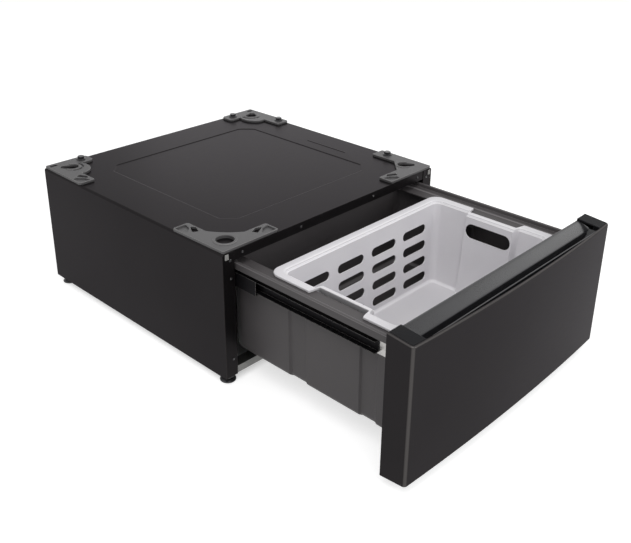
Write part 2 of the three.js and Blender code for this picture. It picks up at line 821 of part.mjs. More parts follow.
function tubSolid() {
  const { wall, bottom, rimOut, ridge, draft, edge, flute } = tub;
  const fluteTop = tubRim - flute.drop;
  const fluteEnd = fluteTop + flute.runOut;
  const lean = (z) => (-draft * (ledgeUnder - z)) / (ledgeUnder - bottom);
  const level = (z, out, depth = 0) => ({ outline: tubOutline(out, depth), z });
  const floorTop = bottom + wall;
  const shell = loft([
    level(bottom, lean(bottom) - edge, flute.depth),
    level(bottom + edge * 0.3, lean(bottom) - edge * 0.3, flute.depth),
    level(bottom + edge, lean(bottom + edge), flute.depth),
    level(fluteTop, lean(fluteTop), flute.depth),
    level(fluteEnd, lean(fluteEnd)),
    level(ledgeUnder, 0),
    level(ledgeUnder, rimOut - wall),
    level(skirtBottom, rimOut - wall),
    level(skirtBottom, rimOut),
    level(tubRim - 2, rimOut),
    level(tubRim, rimOut - 2),
    level(tubRim, rimOut - ridge + 1.5),
    level(tubRim - 1.5, rimOut - ridge),
    level(ledge, rimOut - ridge),
    level(ledge, -wall),
    level(fluteEnd, lean(fluteEnd) - wall),
    level(fluteTop, lean(fluteTop) - wall, flute.depth),
    level(floorTop + edge - wall, lean(floorTop + edge) - wall, flute.depth),
    level(floorTop + edge * 0.25, lean(floorTop) - wall - edge * 0.25, flute.depth),
    level(floorTop, lean(floorTop) - wall - edge * 0.8, flute.depth),
  ]);
  const reach = tubHalf + 2 * rimOut;
  return shell.intersect(prism("z", box(-reach, tubFront, reach, tubBack + reach), 0, tubRim + 20));
}

place("drawer_tub", tubSolid(), "greyTub");

// The drawer front's plan: flat at the rear, rounded corners, one shallow arc across the front.
function frontPlan(inset, reach = 0) {
  const half = halfWidth - inset;
  const chord = halfWidth - front.cornerRadius;
  const bowRadius = (chord * chord + front.bow * front.bow) / (2 * front.bow);
  const centreY = frontFace + bowRadius;
  const r = front.cornerRadius;
  const cornerY = centreY - Math.sqrt((bowRadius - r) ** 2 - (halfWidth - r) ** 2);
  const meet = Math.asin((halfWidth - r) / (bowRadius - r));
  const corner = arc(halfWidth - r, cornerY, r - inset, 0, -Math.PI / 2 + meet, 5);
  const bow = arc(0, centreY, bowRadius - inset, -Math.PI / 2 + meet, -Math.PI / 2 - meet, 24).slice(1, -1);
  const leftCorner = corner.map((p) => at(-p.x, p.y)).reverse();
  return [at(half, frontRear + reach), ...corner, ...bow, ...leftCorner, at(-half, frontRear + reach)];
}

// The drawer front's side profile, drawn in by an inset, and open upwards where asked.
function frontProfile(inset, top = "closed") {
  const { frontDrop, frontRise } = front;
  const reach = 40;
  const slopeDown = frontDrop / front.thickEnd;
  const slopeUp = frontRise / front.thickEnd;
  const y0 = frontFace - reach;
  const y1 = frontRear + reach;
  const topAt = (y) => (top === "open" ? frontHeight + reach : frontHeight - inset - slopeDown * (frontRear - y));
  const bottomAt = (y) => inset + slopeUp * (frontRear - y);
  return [at(y0, bottomAt(y0)), at(y1, bottomAt(y1)), at(y1, topAt(y1)), at(y0, topAt(y0))];
}

const frontBlock = (inset, reach, profile) =>
  prism("z", frontPlan(inset, reach), -60, frontHeight + 60).intersect(
    prism("x", profile, -halfWidth - 5, halfWidth + 5),
  );

function skinSolid() {
  const { sheet, lipWidth } = front;
  return cut(
    frontBlock(0, 0, frontProfile(0)),
    frontBlock(sheet, 5, frontProfile(sheet)),
    frontBlock(lipWidth, 5, frontProfile(3 * sheet, "open")),
  );
}

function across(profile, from, to) {
  return prism("x", profile, from, to);
}

function capSolid(sign) {
  const clear = front.sheet + grip.slack;
  const low = frontBlock(clear, 0, frontProfile(clear));
  const high = frontBlock(front.lipWidth + seat, 0, frontProfile(0));
  const slab = box(frontFace - 10, gripBase + seat, frontRear - seat, frontHeight + 10);
  const x = [halfWidth - cap.width, halfWidth].map((v) => sign * v).sort((a, b) => a - b);
  const { deep, roof, narrow, start, end } = cap.recess;
  const inner = halfWidth - cap.width - 5;
  const wide = halfWidth - cap.plateau;
  const wedge = [
    at(inner, frontRear - end),
    at(wide, frontRear - end),
    at(wide - narrow, frontRear - start),
    at(inner, frontRear - start),
  ];
  return cut(
    joined(low, high).intersect(across(slab, x[0], x[1])),
    prism("z", mirrored(wedge, sign), frontHeight - deep, frontHeight - roof),
  );
}

function gripSolid() {
  const clear = front.sheet + grip.slack;
  const { wall, rearDrop, ridge, slopeRun, slopeDrop, floor } = grip;
  const rearTop = frontHeight - rearDrop;
  const edgeTop = rearTop - slopeDrop;
  const floorZ = frontHeight - floor;
  const far = frontFace - 20;
  const half = halfWidth - cap.width - seat;
  const rear = frontRear - seat;
  const edge = rear - ridge - slopeRun;
  const shell = frontBlock(clear, 0, frontProfile(clear)).intersect(
    across(box(far, gripBase + seat, rear, rearTop), -half, half),
  );
  const pocket = frontBlock(clear + wall, 20, frontProfile(0, "open")).intersect(
    across(
      [
        at(rear - ridge, rearTop + 20),
        at(rear - ridge, rearTop),
        at(edge, edgeTop),
        at(edge, floorZ),
        at(far, floorZ),
        at(far, rearTop + 20),
      ],
      -half - 5,
      half + 5,
    ),
  );
  const hollow = across(
    [
      at(rear - wall, gripBase - 5),
      at(rear - wall, rearTop - wall - 1),
      at(rear - ridge, rearTop - wall - 1),
      at(edge + wall, edgeTop - wall),
      at(edge + wall, gripBase - 5),
    ],
    -half - 5,
    half + 5,
  );
  return cut(shell, pocket, hollow);
}

function panelSolid() {
  const clear = front.sheet + grip.slack;
  const half = halfWidth - clear;
  const rear = frontRear - seat;
  return across(box(rear - panel.thick, panel.bottom, rear, gripBase), -half, half);
}

place("drawer_front_skin", skinSolid(), "blackSteel");
place("grip_trim", gripSolid(), "blackTrim");
for (const [side, sign] of sides) place(`front_end_cap_${side}`, capSolid(sign), "blackTrim");
place("front_inner_panel", panelSolid(), "greyTub");

// ---------------------------------------------------------------- basket

const basketBottom = tub.bottom + tub.wall + seat;
const basketRim = tubRim - basket.rimDrop;
const basketBack = tubBack - tub.wall - basket.back - 3;
const basketFront = basketBack - basket.depth;
const basketHalf = tubHalf - tub.wall - basket.sideGap;

// The basket's outline: inset from the rim's outer edge on all sides, with a step at each handle.
function basketOutline(insetSide, insetEnd, notchDepth, radius) {
  const half = basketHalf - insetSide;
  const y0 = basketFront + insetEnd;
  const y1 = basketBack - insetEnd;
  const { from, to, slope } = basket.notch;
  const right = [
    ...arc(half - radius, y0 + radius, radius, -Math.PI / 2, 0, 5),
    at(half, basketBack - to),
    at(half - notchDepth, basketBack - to + slope),
    at(half - notchDepth, basketBack - from - slope),
    at(half, basketBack - from),
    ...arc(half - radius, y1 - radius, radius, 0, Math.PI / 2, 5),
  ];
  const left = right.map((p) => at(-p.x, p.y)).reverse();
  return [...right, ...left];
}

function basketSolid() {
  const { wall, rimThick, rimWidth, foot: skirt, draftSide, draftEnd, corner, notch } = basket;
  const flangeUnder = basketRim - rimThick / 2;
  const share = (z) => (flangeUnder - z) / (flangeUnder - basketBottom);
  const wallRing = (z, inset) => ({
    outline: basketOutline(
      rimWidth + draftSide * share(z) + inset,
      rimWidth + draftEnd * share(z) + inset,
      notch.depth,
      corner - 6 - inset,
    ),
    z,
  });
  const rimRing = (z, inset, radius) => ({
    outline: basketOutline(inset, inset, inset < 4 ? notch.rimDepth : notch.depth, radius),
    z,
  });
  const floorUnder = basketBottom + skirt;
  const shell = loft([
    wallRing(floorUnder, wall),
    wallRing(basketBottom, wall),
    wallRing(basketBottom, 0),
    wallRing(flangeUnder, 0),
    rimRing(flangeUnder, wall, corner),
    rimRing(basketRim - rimThick, wall, corner),
    rimRing(basketRim - rimThick, 0, corner + 2),
    rimRing(basketRim - 2, 0, corner + 2),
    rimRing(basketRim, 2, corner),
    { outline: basketOutline(rimWidth - 1, rimWidth - 1, notch.depth, corner - 6), z: basketRim },
    wallRing(flangeUnder - wall, wall),
    wallRing(floorUnder + wall, wall),
  ]);
  const { slot, handle } = basket;
  const lowest = basketBottom + slot.lift;
  const rise = (basketRim - slot.drop - lowest) / (slot.rows - 1);
  const openings = [];
  for (let i = 0; i < slot.columns; i++) {
    const x = (i - (slot.columns - 1) / 2) * slot.pitch;
    for (let j = 0; j < slot.rows; j++) {
      const outline = stadium(x, lowest + j * rise, slot.length, slot.height);
      openings.push(prism("y", outline, basketFront - 5, basketBack + 5));
    }
  }
  const middle = basketBack - (notch.from + notch.to) / 2;
  const grasp = stadium(middle, basketRim - handle.drop, handle.length, handle.height, 6);
  openings.push(prism("x", grasp, -basketHalf - 5, basketHalf + 5));
  return cut(shell, ...openings);
}

place("laundry_basket", basketSolid(), "whitePlastic");

export default pedestal;
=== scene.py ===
# The washer pedestal as it looks: materials, detailed pieces, light and the photograph's camera.
# Metres, in the row frame: X across, Y from front to back, Z up from the floor. The detailed pieces
# are drawn in millimetres from the cabinet's front plane and lower edge, and placed by spot().

import json
import math

import bmesh
import bpy
from mathutils import Matrix, Vector


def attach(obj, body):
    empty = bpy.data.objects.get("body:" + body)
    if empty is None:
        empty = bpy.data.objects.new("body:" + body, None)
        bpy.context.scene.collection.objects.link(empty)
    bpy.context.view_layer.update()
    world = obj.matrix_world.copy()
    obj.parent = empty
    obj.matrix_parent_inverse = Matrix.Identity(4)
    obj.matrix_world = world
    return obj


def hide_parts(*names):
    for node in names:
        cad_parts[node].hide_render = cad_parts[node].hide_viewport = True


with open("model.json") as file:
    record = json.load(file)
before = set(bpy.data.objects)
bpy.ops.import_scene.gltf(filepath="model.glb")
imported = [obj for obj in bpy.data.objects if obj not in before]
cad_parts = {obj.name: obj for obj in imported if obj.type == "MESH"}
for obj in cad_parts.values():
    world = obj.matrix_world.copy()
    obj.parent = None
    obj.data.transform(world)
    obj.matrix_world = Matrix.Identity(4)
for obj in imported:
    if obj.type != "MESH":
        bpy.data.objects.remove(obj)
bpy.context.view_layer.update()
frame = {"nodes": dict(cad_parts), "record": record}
nodes = frame["nodes"]
scene = bpy.context.scene
scene.view_settings.view_transform = "Standard"
MM = 0.001
QUARTER = math.pi / 2
SIDES = (("left", -1), ("right", 1))

# ---------------------------------------------------------------- camera

AZIMUTH = math.radians(-46.7)
ELEVATION = math.radians(23.71)
ROLL = math.radians(0.69)
DISTANCE = 2.2612
TARGET = Vector((0.1107, 0.0706, 0.2436))
SENSOR_WIDTH = 36
LENS = 48.45
LENS_SHIFT = (-0.006, -0.1)


def aim_camera():
    data = bpy.data.cameras.new("camera")
    camera = bpy.data.objects.new("camera", data)
    scene.collection.objects.link(camera)
    scene.camera = camera
    back = Vector(
        (
            math.cos(ELEVATION) * math.sin(AZIMUTH),
            -math.cos(ELEVATION) * math.cos(AZIMUTH),
            math.sin(ELEVATION),
        )
    )
    across = Vector((0, 0, 1)).cross(back).normalized()
    up = back.cross(across)
    x = across * math.cos(ROLL) + up * math.sin(ROLL)
    y = up * math.cos(ROLL) - across * math.sin(ROLL)
    place = TARGET + back * DISTANCE
    camera.matrix_world = Matrix(
        (
            (x.x, y.x, back.x, place.x),
            (x.y, y.y, back.y, place.y),
            (x.z, y.z, back.z, place.z),
            (0, 0, 0, 1),
        )
    )
    data.sensor_width = SENSOR_WIDTH
    data.lens = LENS
    data.shift_x, data.shift_y = LENS_SHIFT
    data.clip_end = 50


aim_camera()

# ---------------------------------------------------------------- material tools

MIX_INPUTS = (0, 6, 7)  # where a Mix node keeps its factor and its two colours
MIX_RESULT = 2


class Nodes:
    """Adds shader nodes to a material or a world with short calls."""

    def __init__(self, owner, output="ShaderNodeOutputMaterial"):
        owner.use_nodes = True
        self.owner = owner
        self.tree = owner.node_tree
        self.tree.nodes.clear()
        self.output = self.add(output)

    def feed(self, socket, value):
        """Links another node's output to a socket, or writes a plain value on it."""
        if isinstance(value, bpy.types.NodeSocket):
            self.tree.links.new(value, socket)
        else:
            socket.default_value = value

    def add(self, kind, settings=None, **inputs):
        node = self.tree.nodes.new(kind)
        for key, value in (settings or {}).items():
            setattr(node, key, value)
        for key, value in inputs.items():
            self.feed(node.inputs[key.replace("_", " ")], value)
        return node

    def coordinates(self):
        return self.add("ShaderNodeTexCoord").outputs["Object"]

    def noise(self, scale, detail, stretch=None):
        vector = self.coordinates()
        if stretch:
            mapping = self.add("ShaderNodeMapping", Vector=vector, Scale=stretch)
            vector = mapping.outputs["Vector"]
        noise = self.add("ShaderNodeTexNoise", Vector=vector, Scale=scale, Detail=detail)
        return noise.outputs["Fac"]

    def remap(self, value, low, high, start=0.3, end=0.7):
        """Low up to start, high from end on, and even between them."""
        ends = {"From_Min": start, "From_Max": end, "To_Min": low, "To_Max": high}
        return self.add("ShaderNodeMapRange", Value=value, **ends).outputs["Result"]

    def math(self, operation, a, b=0):
        node = self.add("ShaderNodeMath", {"operation": operation})
        self.feed(node.inputs[0], a)
        self.feed(node.inputs[1], b)
        return node.outputs[0]

    def mix(self, fac, a, b):
        node = self.add("ShaderNodeMix", {"data_type": "RGBA"})
        for place, value in zip(MIX_INPUTS, (fac, a, b)):
            self.feed(node.inputs[place], value)
        return node.outputs[MIX_RESULT]

    def bump(self, height, strength, distance):
        node = self.add("ShaderNodeBump", Height=height, Strength=strength, Distance=distance)
        return node.outputs["Normal"]

    def edges(self, radius):
        """1 where a surface turns within a short radius, 0 on flat stretches."""
        bevel = self.add("ShaderNodeBevel", {"samples": 4}, Radius=radius)
        flat = self.add("ShaderNodeNewGeometry").outputs["Normal"]
        dot = self.add("ShaderNodeVectorMath", {"operation": "DOT_PRODUCT"})
        self.feed(dot.inputs[0], bevel.outputs["Normal"])
        self.feed(dot.inputs[1], flat)
        turned, level = 0.75, 0.995
        return self.remap(dot.outputs["Value"], 1.0, 0.0, turned, level)

    def rounding(self, upright=False):
        """A mask for painted highlights: 1 where a rounded edge faces halfway up, 0 on level and
        upright faces.

        With upright, also 1 halfway round an upright edge.
        """
        normal = self.add("ShaderNodeNewGeometry").outputs["Normal"]
        parts = self.add("ShaderNodeSeparateXYZ", Vector=normal).outputs
        up = self.math("MAXIMUM", parts["Z"], 0)
        flat = self.math("SQRT", self.math("SUBTRACT", 1.0, self.math("MULTIPLY", up, up)))
        turned = self.math("MULTIPLY", up, flat)
        if upright:
            corner = self.math("ABSOLUTE", self.math("MULTIPLY", parts["X"], parts["Y"]))
            turned = self.math("MAXIMUM", turned, corner)
        start, full = 0.2, 0.45
        return self.remap(turned, 0, 1, start, full)

    def shader(self, **inputs):
        node = self.add("ShaderNodeBsdfPrincipled", **inputs)
        self.feed(self.output.inputs["Surface"], node.outputs["BSDF"])
        return self.owner


def rgb(value):
    """A linear colour from an sRGB hex string."""
    channels = [int(value[i : i + 2], 16) / 255 for i in (0, 2, 4)]
    linear = [c / 12.92 if c <= 0.04045 else ((c + 0.055) / 1.055) ** 2.4 for c in channels]
    return (*linear, 1)


def black_steel(name, bend_highlights):
    """Black stainless: a thin dark coating over finely brushed sheet, with its edges painted paler
    as wear and painted highlight.

    For a sheet with soft bends, the pale colour is a painted highlight on the bends where they face
    halfway up and where they turn round upright corners.
    """
    n = Nodes(bpy.data.materials.new(name))
    brushed = n.noise(60, 3, stretch=(0.6, 14, 14))
    cloud = n.noise(2.5, 2)
    colour = n.mix(n.remap(cloud, 0, 1), rgb("211f20"), rgb("262425"))
    # Pale edge colour 767371: wear and a painted highlight on sharp edges; on soft bends, a painted
    # highlight alone.
    edges = n.rounding(True) if bend_highlights else n.edges(0.0012)
    wear_and_highlight = n.mix(n.math("MULTIPLY", edges, 0.3), colour, rgb("767371"))
    rough = n.math("ADD", n.remap(brushed, 0.3, 0.34), n.remap(cloud, -0.01, 0.01))
    return n.shader(
        Base_Color=wear_and_highlight,
        Metallic=0.7,
        Specular_IOR_Level=0.2,
        Specular_Tint=(0.48, 0.47, 0.48, 1),
        Roughness=rough,
        Normal=n.bump(brushed, 0.03, 0.00005),
    )


def moulded(
    name, dark, light, edge, roughness, grain, depth, specular=0.4, metallic=0.0, rim_highlights=False
):
    """Injection moulded plastic with a fine spark-eroded grain and paler edges, partly wear and
    partly painted highlight.

    The grain is given by its scale and its depth in metres. Rims can instead get a painted
    highlight where their rounding faces halfway up.
    """
    n = Nodes(bpy.data.materials.new(name))
    fine = n.noise(grain, 3)
    cloud = n.noise(5, 3)
    colour = n.mix(n.remap(cloud, 0, 1), rgb(dark), rgb(light))
    # Paler edge colour: wear and a painted highlight on edges; on rims, a painted highlight by
    # their rounding.
    edges = n.rounding() if rim_highlights else n.edges(0.0015)
    wear_and_highlight = n.mix(n.math("MULTIPLY", edges, 0.6), colour, rgb(edge))
    grained = n.remap(fine, roughness - 0.05, roughness + 0.05)
    return n.shader(
        Base_Color=wear_and_highlight,
        Metallic=metallic,
        Specular_IOR_Level=specular,
        Specular_Tint=(1 - metallic, 1 - metallic, 1 - metallic, 1),
        Roughness=n.math("ADD", grained, n.remap(cloud, -0.03, 0.03)),
        Normal=n.bump(fine, 0.25, depth),
    )


def plated(name, dark, light, roughness, metallic=1.0, spangle=60, tint=1.0):
    """Zinc or other plating: crystals of slightly different tone, drawn marks, and edges painted
    paler as wear and painted highlight.
    """
    n = Nodes(bpy.data.materials.new(name))
    cells = n.add(
        "ShaderNodeTexVoronoi", {"feature": "F1"}, Vector=n.coordinates(), Scale=float(spangle)
    )
    patch = n.add("ShaderNodeSeparateColor", Color=cells.outputs["Color"]).outputs["Red"]
    drawn = n.noise(80, 3, stretch=(40, 1, 40))
    colour = n.mix(n.remap(patch, 0, 1, 0, 1), rgb(dark), rgb(light))
    # Near-white edge colour e8e6e2: wear and a painted highlight.
    wear_and_highlight = n.mix(n.math("MULTIPLY", n.edges(0.001), 0.4), colour, rgb("e8e6e2"))
    marked = n.remap(drawn, roughness - 0.06, roughness + 0.06)
    return n.shader(
        Base_Color=wear_and_highlight,
        Metallic=metallic,
        Specular_Tint=(tint, tint, tint, 1),
        Roughness=n.math("ADD", marked, n.remap(patch, -0.03, 0.03, 0, 1)),
        Normal=n.bump(drawn, 0.12, 0.0002),
    )


# A moulded look's fourth colour is its pale edge colour: wear and painted highlight, and on rims a
# painted highlight alone.
LOOKS = {
    "black_steel": black_steel("black_steel", False),
    # front_steel: black steel with painted highlights on the front sheet's rounded bends and
    # corners.
    "front_steel": black_steel("front_steel", True),
    "cap_black": moulded(
        "cap_black", "19191b", "1e1e20", "5a5a5c", 0.4, 900, 0.0002, specular=0.2, metallic=0.5
    ),
    "black_trim": moulded(
        "black_trim", "1b1b1d", "222225", "3a3a3c", 0.31, 900, 0.0002, specular=0.5
    ),
    "galvanised": plated("galvanised", "777776", "868684", 0.45),
    "zinc": plated("zinc", "a3a1a0", "c0bebb", 0.36, spangle=150),
    "slide_steel": plated(
        "slide_steel", "141315", "1c1b1d", 0.5, metallic=0.7, spangle=200, tint=0.3
    ),
    "grey_bracket": moulded(
        "grey_bracket", "474647", "515051", "8a8888", 0.5, 700, 0.0003, rim_highlights=True
    ),
    "grey_tub": moulded(
        "grey_tub", "434041", "4a4748", "868384", 0.55, 1100, 0.0003, specular=0.35, rim_highlights=True
    ),
    "white_basket": moulded(
        "white_basket", "d1cfd3", "dad8db", "f2f1f3", 0.42, 1300, 0.0001, rim_highlights=True
    ),
    "dark_steel": plated("dark_steel", "38383a", "4c4c4e", 0.35, metallic=0.9, spangle=300),
    "pale_pad": moulded("pale_pad", "807f7d", "8c8b89", "c4c3c0", 0.75, 600, 0.0003),
}

# ---------------------------------------------------------------- points and outlines

Y_SHIFT = -100  # the cabinet's front plane in the row frame, in millimetres
Z_LIFT = 20  # the cabinet's lower edge above the floor


def spot(x, y, z):
    """A point of the cabinet's millimetre layout, in metres in the row frame."""
    return Vector((x * MM, (y + Y_SHIFT) * MM, (z + Z_LIFT) * MM))


def shares(steps):
    """Even shares from 0 to 1."""
    return [k / steps for k in range(steps + 1)]


def smooth_step(t):
    t = min(max(t, 0), 1)
    return t * t * (3 - 2 * t)


def arc(cx, cy, radius, start, end, steps):
    turn = (end - start) / steps
    return [
        (cx + radius * math.cos(start + turn * i), cy + radius * math.sin(start + turn * i))
        for i in range(steps + 1)
    ]


def quarter_round(radius, steps):
    """The (inset, drop) pairs of a rounded edge, from its flat top to its upright side."""
    turns = [QUARTER * k / steps for k in range(steps + 1)]
    return [(radius * (1 - math.sin(t)), radius * (1 - math.cos(t))) for t in turns]


def pressed_in(x, start, end, depth, ramp, steps):
    """Points of a side wall that is pressed in from x, with a soft ramp at each end."""
    way_in = [(x - depth * smooth_step(t), start + ramp * t) for t in shares(steps)]
    way_out = [(x - depth * smooth_step(1 - t), end - ramp + ramp * t) for t in shares(steps)]
    return way_in + way_out


def mirrored(points):
    return [(-x, y) for x, y in reversed(points)]


def stadium(cx, cy, length, height, steps=8):
    r = height / 2
    reach = length / 2 - r
    right = arc(cx + reach, cy, r, -QUARTER, QUARTER, steps)
    left = arc(cx - reach, cy, r, QUARTER, 3 * QUARTER, steps)
    return right + left


def wound(loop):
    """The loop, counter-clockwise."""
    area = sum(a[0] * b[1] - b[0] * a[1] for a, b in zip(loop, loop[1:] + loop[:1]))
    return loop if area > 0 else loop[::-1]


def offset(loop, distance):
    """A counter-clockwise loop moved outward by a distance, corner by corner."""
    sharpest = 0.4  # a sharper corner moves no further than one with this cosine
    moved = []
    for i, point in enumerate(loop):
        before = (Vector(point) - Vector(loop[i - 1])).normalized()
        after = (Vector(loop[(i + 1) % len(loop)]) - Vector(point)).normalized()
        one, two = Vector((before.y, -before.x)), Vector((after.y, -after.x))
        middle = (one + two).normalized()
        reach = distance / max(middle.dot(one), sharpest)
        moved.append((point[0] + middle.x * reach, point[1] + middle.y * reach))
    return moved


def rounded(corners, radius, steps=5):
    """A polygon with its corners rounded, by one radius or by one for each corner.

    A corner without a radius, or one that hardly turns, stays a single point.
    """
    least_radius, hardly_turned, most_of_side = 0.05, 1.55, 0.49
    loop = []
    for i, corner in enumerate(corners):
        r = radius[i] if isinstance(radius, (list, tuple)) else radius
        b = Vector(corner)
        u, v = Vector(corners[i - 1]) - b, Vector(corners[(i + 1) % len(corners)]) - b
        half = u.angle(v) / 2
        if r < least_radius or half > hardly_turned:
            loop.append(tuple(b))
            continue
        reach = min(r / math.tan(half), most_of_side * min(u.length, v.length))
        r = reach * math.tan(half)
        u.normalize()
        v.normalize()
        centre = b + (u + v).normalized() * (r / math.sin(half))
        p, q = b + u * reach - centre, b + v * reach - centre
        start = math.atan2(p.y, p.x)
        turn = (math.atan2(q.y, q.x) - start + math.pi) % (2 * math.pi) - math.pi
        loop += arc(centre.x, centre.y, r, start, start + turn, steps)
    return loop


# ---------------------------------------------------------------- mesh tools

SMOOTH = math.radians(38)  # edges that turn more than this stay sharp
FLAT = math.radians(0.05)  # faces that turn less than this against each other are joined
SAME_PLACE = 2e-6  # corners nearer to each other than this are one

slot_of = {s["node"]: s["material_slot"] for s in frame["record"]["subparts"]}
body_of = {
    node: body
    for body, members in frame["record"]["behaviour"]["bodies"].items()
    for node in members
}
for name, node in nodes.items():
    node.data.materials.clear()
    node.data.materials.append(LOOKS[slot_of[name]])


def modify(obj, kind, **settings):
    modifier = obj.modifiers.new(kind.lower(), kind)
    for key, value in settings.items():
        setattr(modifier, key, value)


def settle(obj):
    """Applies the modifiers, then smooths the mesh between its sharp edges."""
    graph = bpy.context.evaluated_depsgraph_get()
    final = bpy.data.meshes.new_from_object(obj.evaluated_get(graph))
    obj.modifiers.clear()
    old = obj.data
    obj.data = final
    bpy.data.meshes.remove(old)
    final.polygons.foreach_set("use_smooth", [True] * len(final.polygons))
    bm = bmesh.new()
    bm.from_mesh(final)
    for edge in bm.edges:
        edge.smooth = len(edge.link_faces) == 2 and edge.calc_face_angle(0) < SMOOTH
    bm.to_mesh(final)
    bm.free()
    modify(obj, "WEIGHTED_NORMAL", keep_sharp=True, weight=60)
    return obj


def bevel(width, angle=28):
    return (
        "BEVEL",
        {
            "width": width * MM,
            "segments": 2,
            "limit_method": "ANGLE",
            "angle_limit": math.radians(angle),
            "use_clamp_overlap": True,
            "miter_outer": "MITER_ARC",
        },
    )


def thickened(thickness):
    return ("SOLIDIFY", {"thickness": thickness * MM, "offset": -1, "use_even_offset": True})


def cut_by(tool):
    return ("BOOLEAN", {"object": tool, "operation": "DIFFERENCE", "solver": "EXACT"})


def mesh_object(name, bm):
    """A new object of the scene with the mesh that was drawn."""
    mesh = bpy.data.meshes.new(name)
    bm.to_mesh(mesh)
    bm.free()
    obj = bpy.data.objects.new(name, mesh)
    scene.collection.objects.link(obj)
    return obj


def dressed(obj, node, modifiers, slot=None):
    """The object as the visual piece that stands for a CAD node, with its modifiers applied."""
    slot = slot or slot_of[node]
    obj.data.materials.clear()
    obj.data.materials.append(LOOKS[slot])
    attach(obj, body_of[node])
    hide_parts(node)
    for kind, settings in modifiers:
        modify(obj, kind, **settings)
    return settle(obj)


def finish_piece(name, bm, node, modifiers=(), slot=None):
    """A new piece from a drawn mesh."""
    bmesh.ops.recalc_face_normals(bm, faces=bm.faces)
    return dressed(mesh_object(name, bm), node, modifiers, slot)


def refined(node, width):
    """A copy of a CAD node's shape with its flat faces joined up and its edges rounded."""
    bm = bmesh.new()
    bm.from_mesh(nodes[node].data)
    bmesh.ops.remove_doubles(bm, verts=bm.verts, dist=SAME_PLACE)
    bmesh.ops.dissolve_limit(bm, angle_limit=FLAT, verts=bm.verts, edges=bm.edges)
    dressed(mesh_object(node + "_rounded", bm), node, (bevel(width),))


def ring_wall(bm, rings):
    for low, high in zip(rings, rings[1:]):
        for i in range(len(low)):
            j = (i + 1) % len(low)
            bm.faces.new((low[i], low[j], high[j], high[i]))


def add_rings(bm, rings):
    """Adds a closed skin through rings of equal count."""
    made = [[bm.verts.new(spot(*p)) for p in ring] for ring in rings]
    ring_wall(bm, made)
    bm.faces.new(made[0])
    bm.faces.new(made[-1])


def fill(bm, rings):
    edges = []
    for ring in rings:
        for a, b in zip(ring, ring[1:] + ring[:1]):
            edges.append(bm.edges.get((a, b)) or bm.edges.new((a, b)))
    bmesh.ops.triangle_fill(bm, use_beauty=True, edges=edges)


def plate(outer, holes, bottom, top, round_by):
    """A flat plate with rounded upper edges.

    A hole is (loop, profile, through). The profile's (offset, z) steps run from the plate's top
    into the hole; a hole that doesn't go through ends in a floor at the last step.
    """
    bm = bmesh.new()
    edge = [(inset, top - drop) for inset, drop in quarter_round(round_by, 3)]

    def ring(loop, away, z):
        return [bm.verts.new(spot(x, y, z)) for x, y in offset(loop, away)]

    outer = wound(outer)
    rings = [ring(outer, -away, z) for away, z in edge] + [ring(outer, 0, bottom)]
    ring_wall(bm, rings)
    upper, lower = [rings[0]], [rings[-1]]
    for loop, profile, through in holes:
        loop = wound(loop)
        steps = profile or edge
        if through:
            steps = steps + [(steps[-1][0], bottom)]
        rings = [ring(loop, away, z) for away, z in steps]
        ring_wall(bm, rings)
        upper.append(rings[0])
        if through:
            lower.append(rings[-1])
        else:
            bm.faces.new(rings[-1])
    fill(bm, upper)
    fill(bm, lower)
    return bm


def add_sweep(bm, path, section, sideways):
    """Adds a closed section swept along points. The section lies in (sideways, up)."""
    rings = []
    for (x, y, z), (side_x, side_y) in zip(path, sideways):
        rings.append([(x + side_x * a, y + side_y * a, z + b) for a, b in section])
    add_rings(bm, rings)


def lathe_rings(profile, place, axis="z", steps=32):
    """Rings about an upright line or one along Y, from (radius, height) pairs."""
    rings = []
    for radius, height in profile:
        ring = []
        for i in range(steps):
            a = 2 * math.pi * i / steps
            u, v = radius * math.cos(a), radius * math.sin(a)
            if axis == "z":
                ring.append((place[0] + u, place[1] + v, place[2] + height))
            else:
                ring.append((place[0] + u, place[1] - height, place[2] + v))
        rings.append(ring)
    return rings


def add_hexagon(bm, x, y, low, high, flats, chamfer):
    """A hexagon head with its corners turned off at the top and bottom."""
    at_corner, at_flat = flats / math.sqrt(3), flats / 2

    def ring(z, reach):
        points = []
        for k in range(12):
            angle = math.pi / 6 * k
            radius = min(reach, at_flat if k % 2 else at_corner)
            points.append((x + radius * math.cos(angle), y + radius * math.sin(angle), z))
        return points

    face = at_flat - 0.3
    levels = ((low, face), (low + chamfer, at_corner), (high - chamfer, at_corner), (high, face))
    add_rings(bm, [ring(z, reach) for z, reach in levels])


def cutter(*solids):
    """A temporary object for cutting holes; each solid is two loops of equal count."""
    bm = bmesh.new()
    for solid in solids:
        add_rings(bm, solid)
    bmesh.ops.recalc_face_normals(bm, faces=bm.faces)
    return mesh_object("cutter", bm)


def discard(tool):
    mesh = tool.data
    bpy.data.objects.remove(tool)
    bpy.data.meshes.remove(mesh)


# ---------------------------------------------------------------- plain pieces with rounded edges

SHEET_EDGE = 0.35

for node, width in (
    ("front_top_rail", SHEET_EDGE),
    ("front_bottom_rail", SHEET_EDGE),
    ("rear_bottom_rail", SHEET_EDGE),
    ("back_panel", 0.3),
    ("front_inner_panel", 0.5),
):
    refined(node, width)
for side, _ in SIDES:
    for stem, width in (
        ("base_rail", SHEET_EDGE),
        ("front_column", SHEET_EDGE),
        ("rear_column", SHEET_EDGE),
        ("slide_cabinet_member", SHEET_EDGE),
        ("slide_intermediate_member", SHEET_EDGE),
        ("slide_drawer_member", SHEET_EDGE),
        ("slide_hanger", SHEET_EDGE),
        ("drawer_side_rail", 0.4),
        ("bumper_pad", 0.8),
    ):
        refined(f"{stem}_{side}", width)

# ---------------------------------------------------------------- cabinet

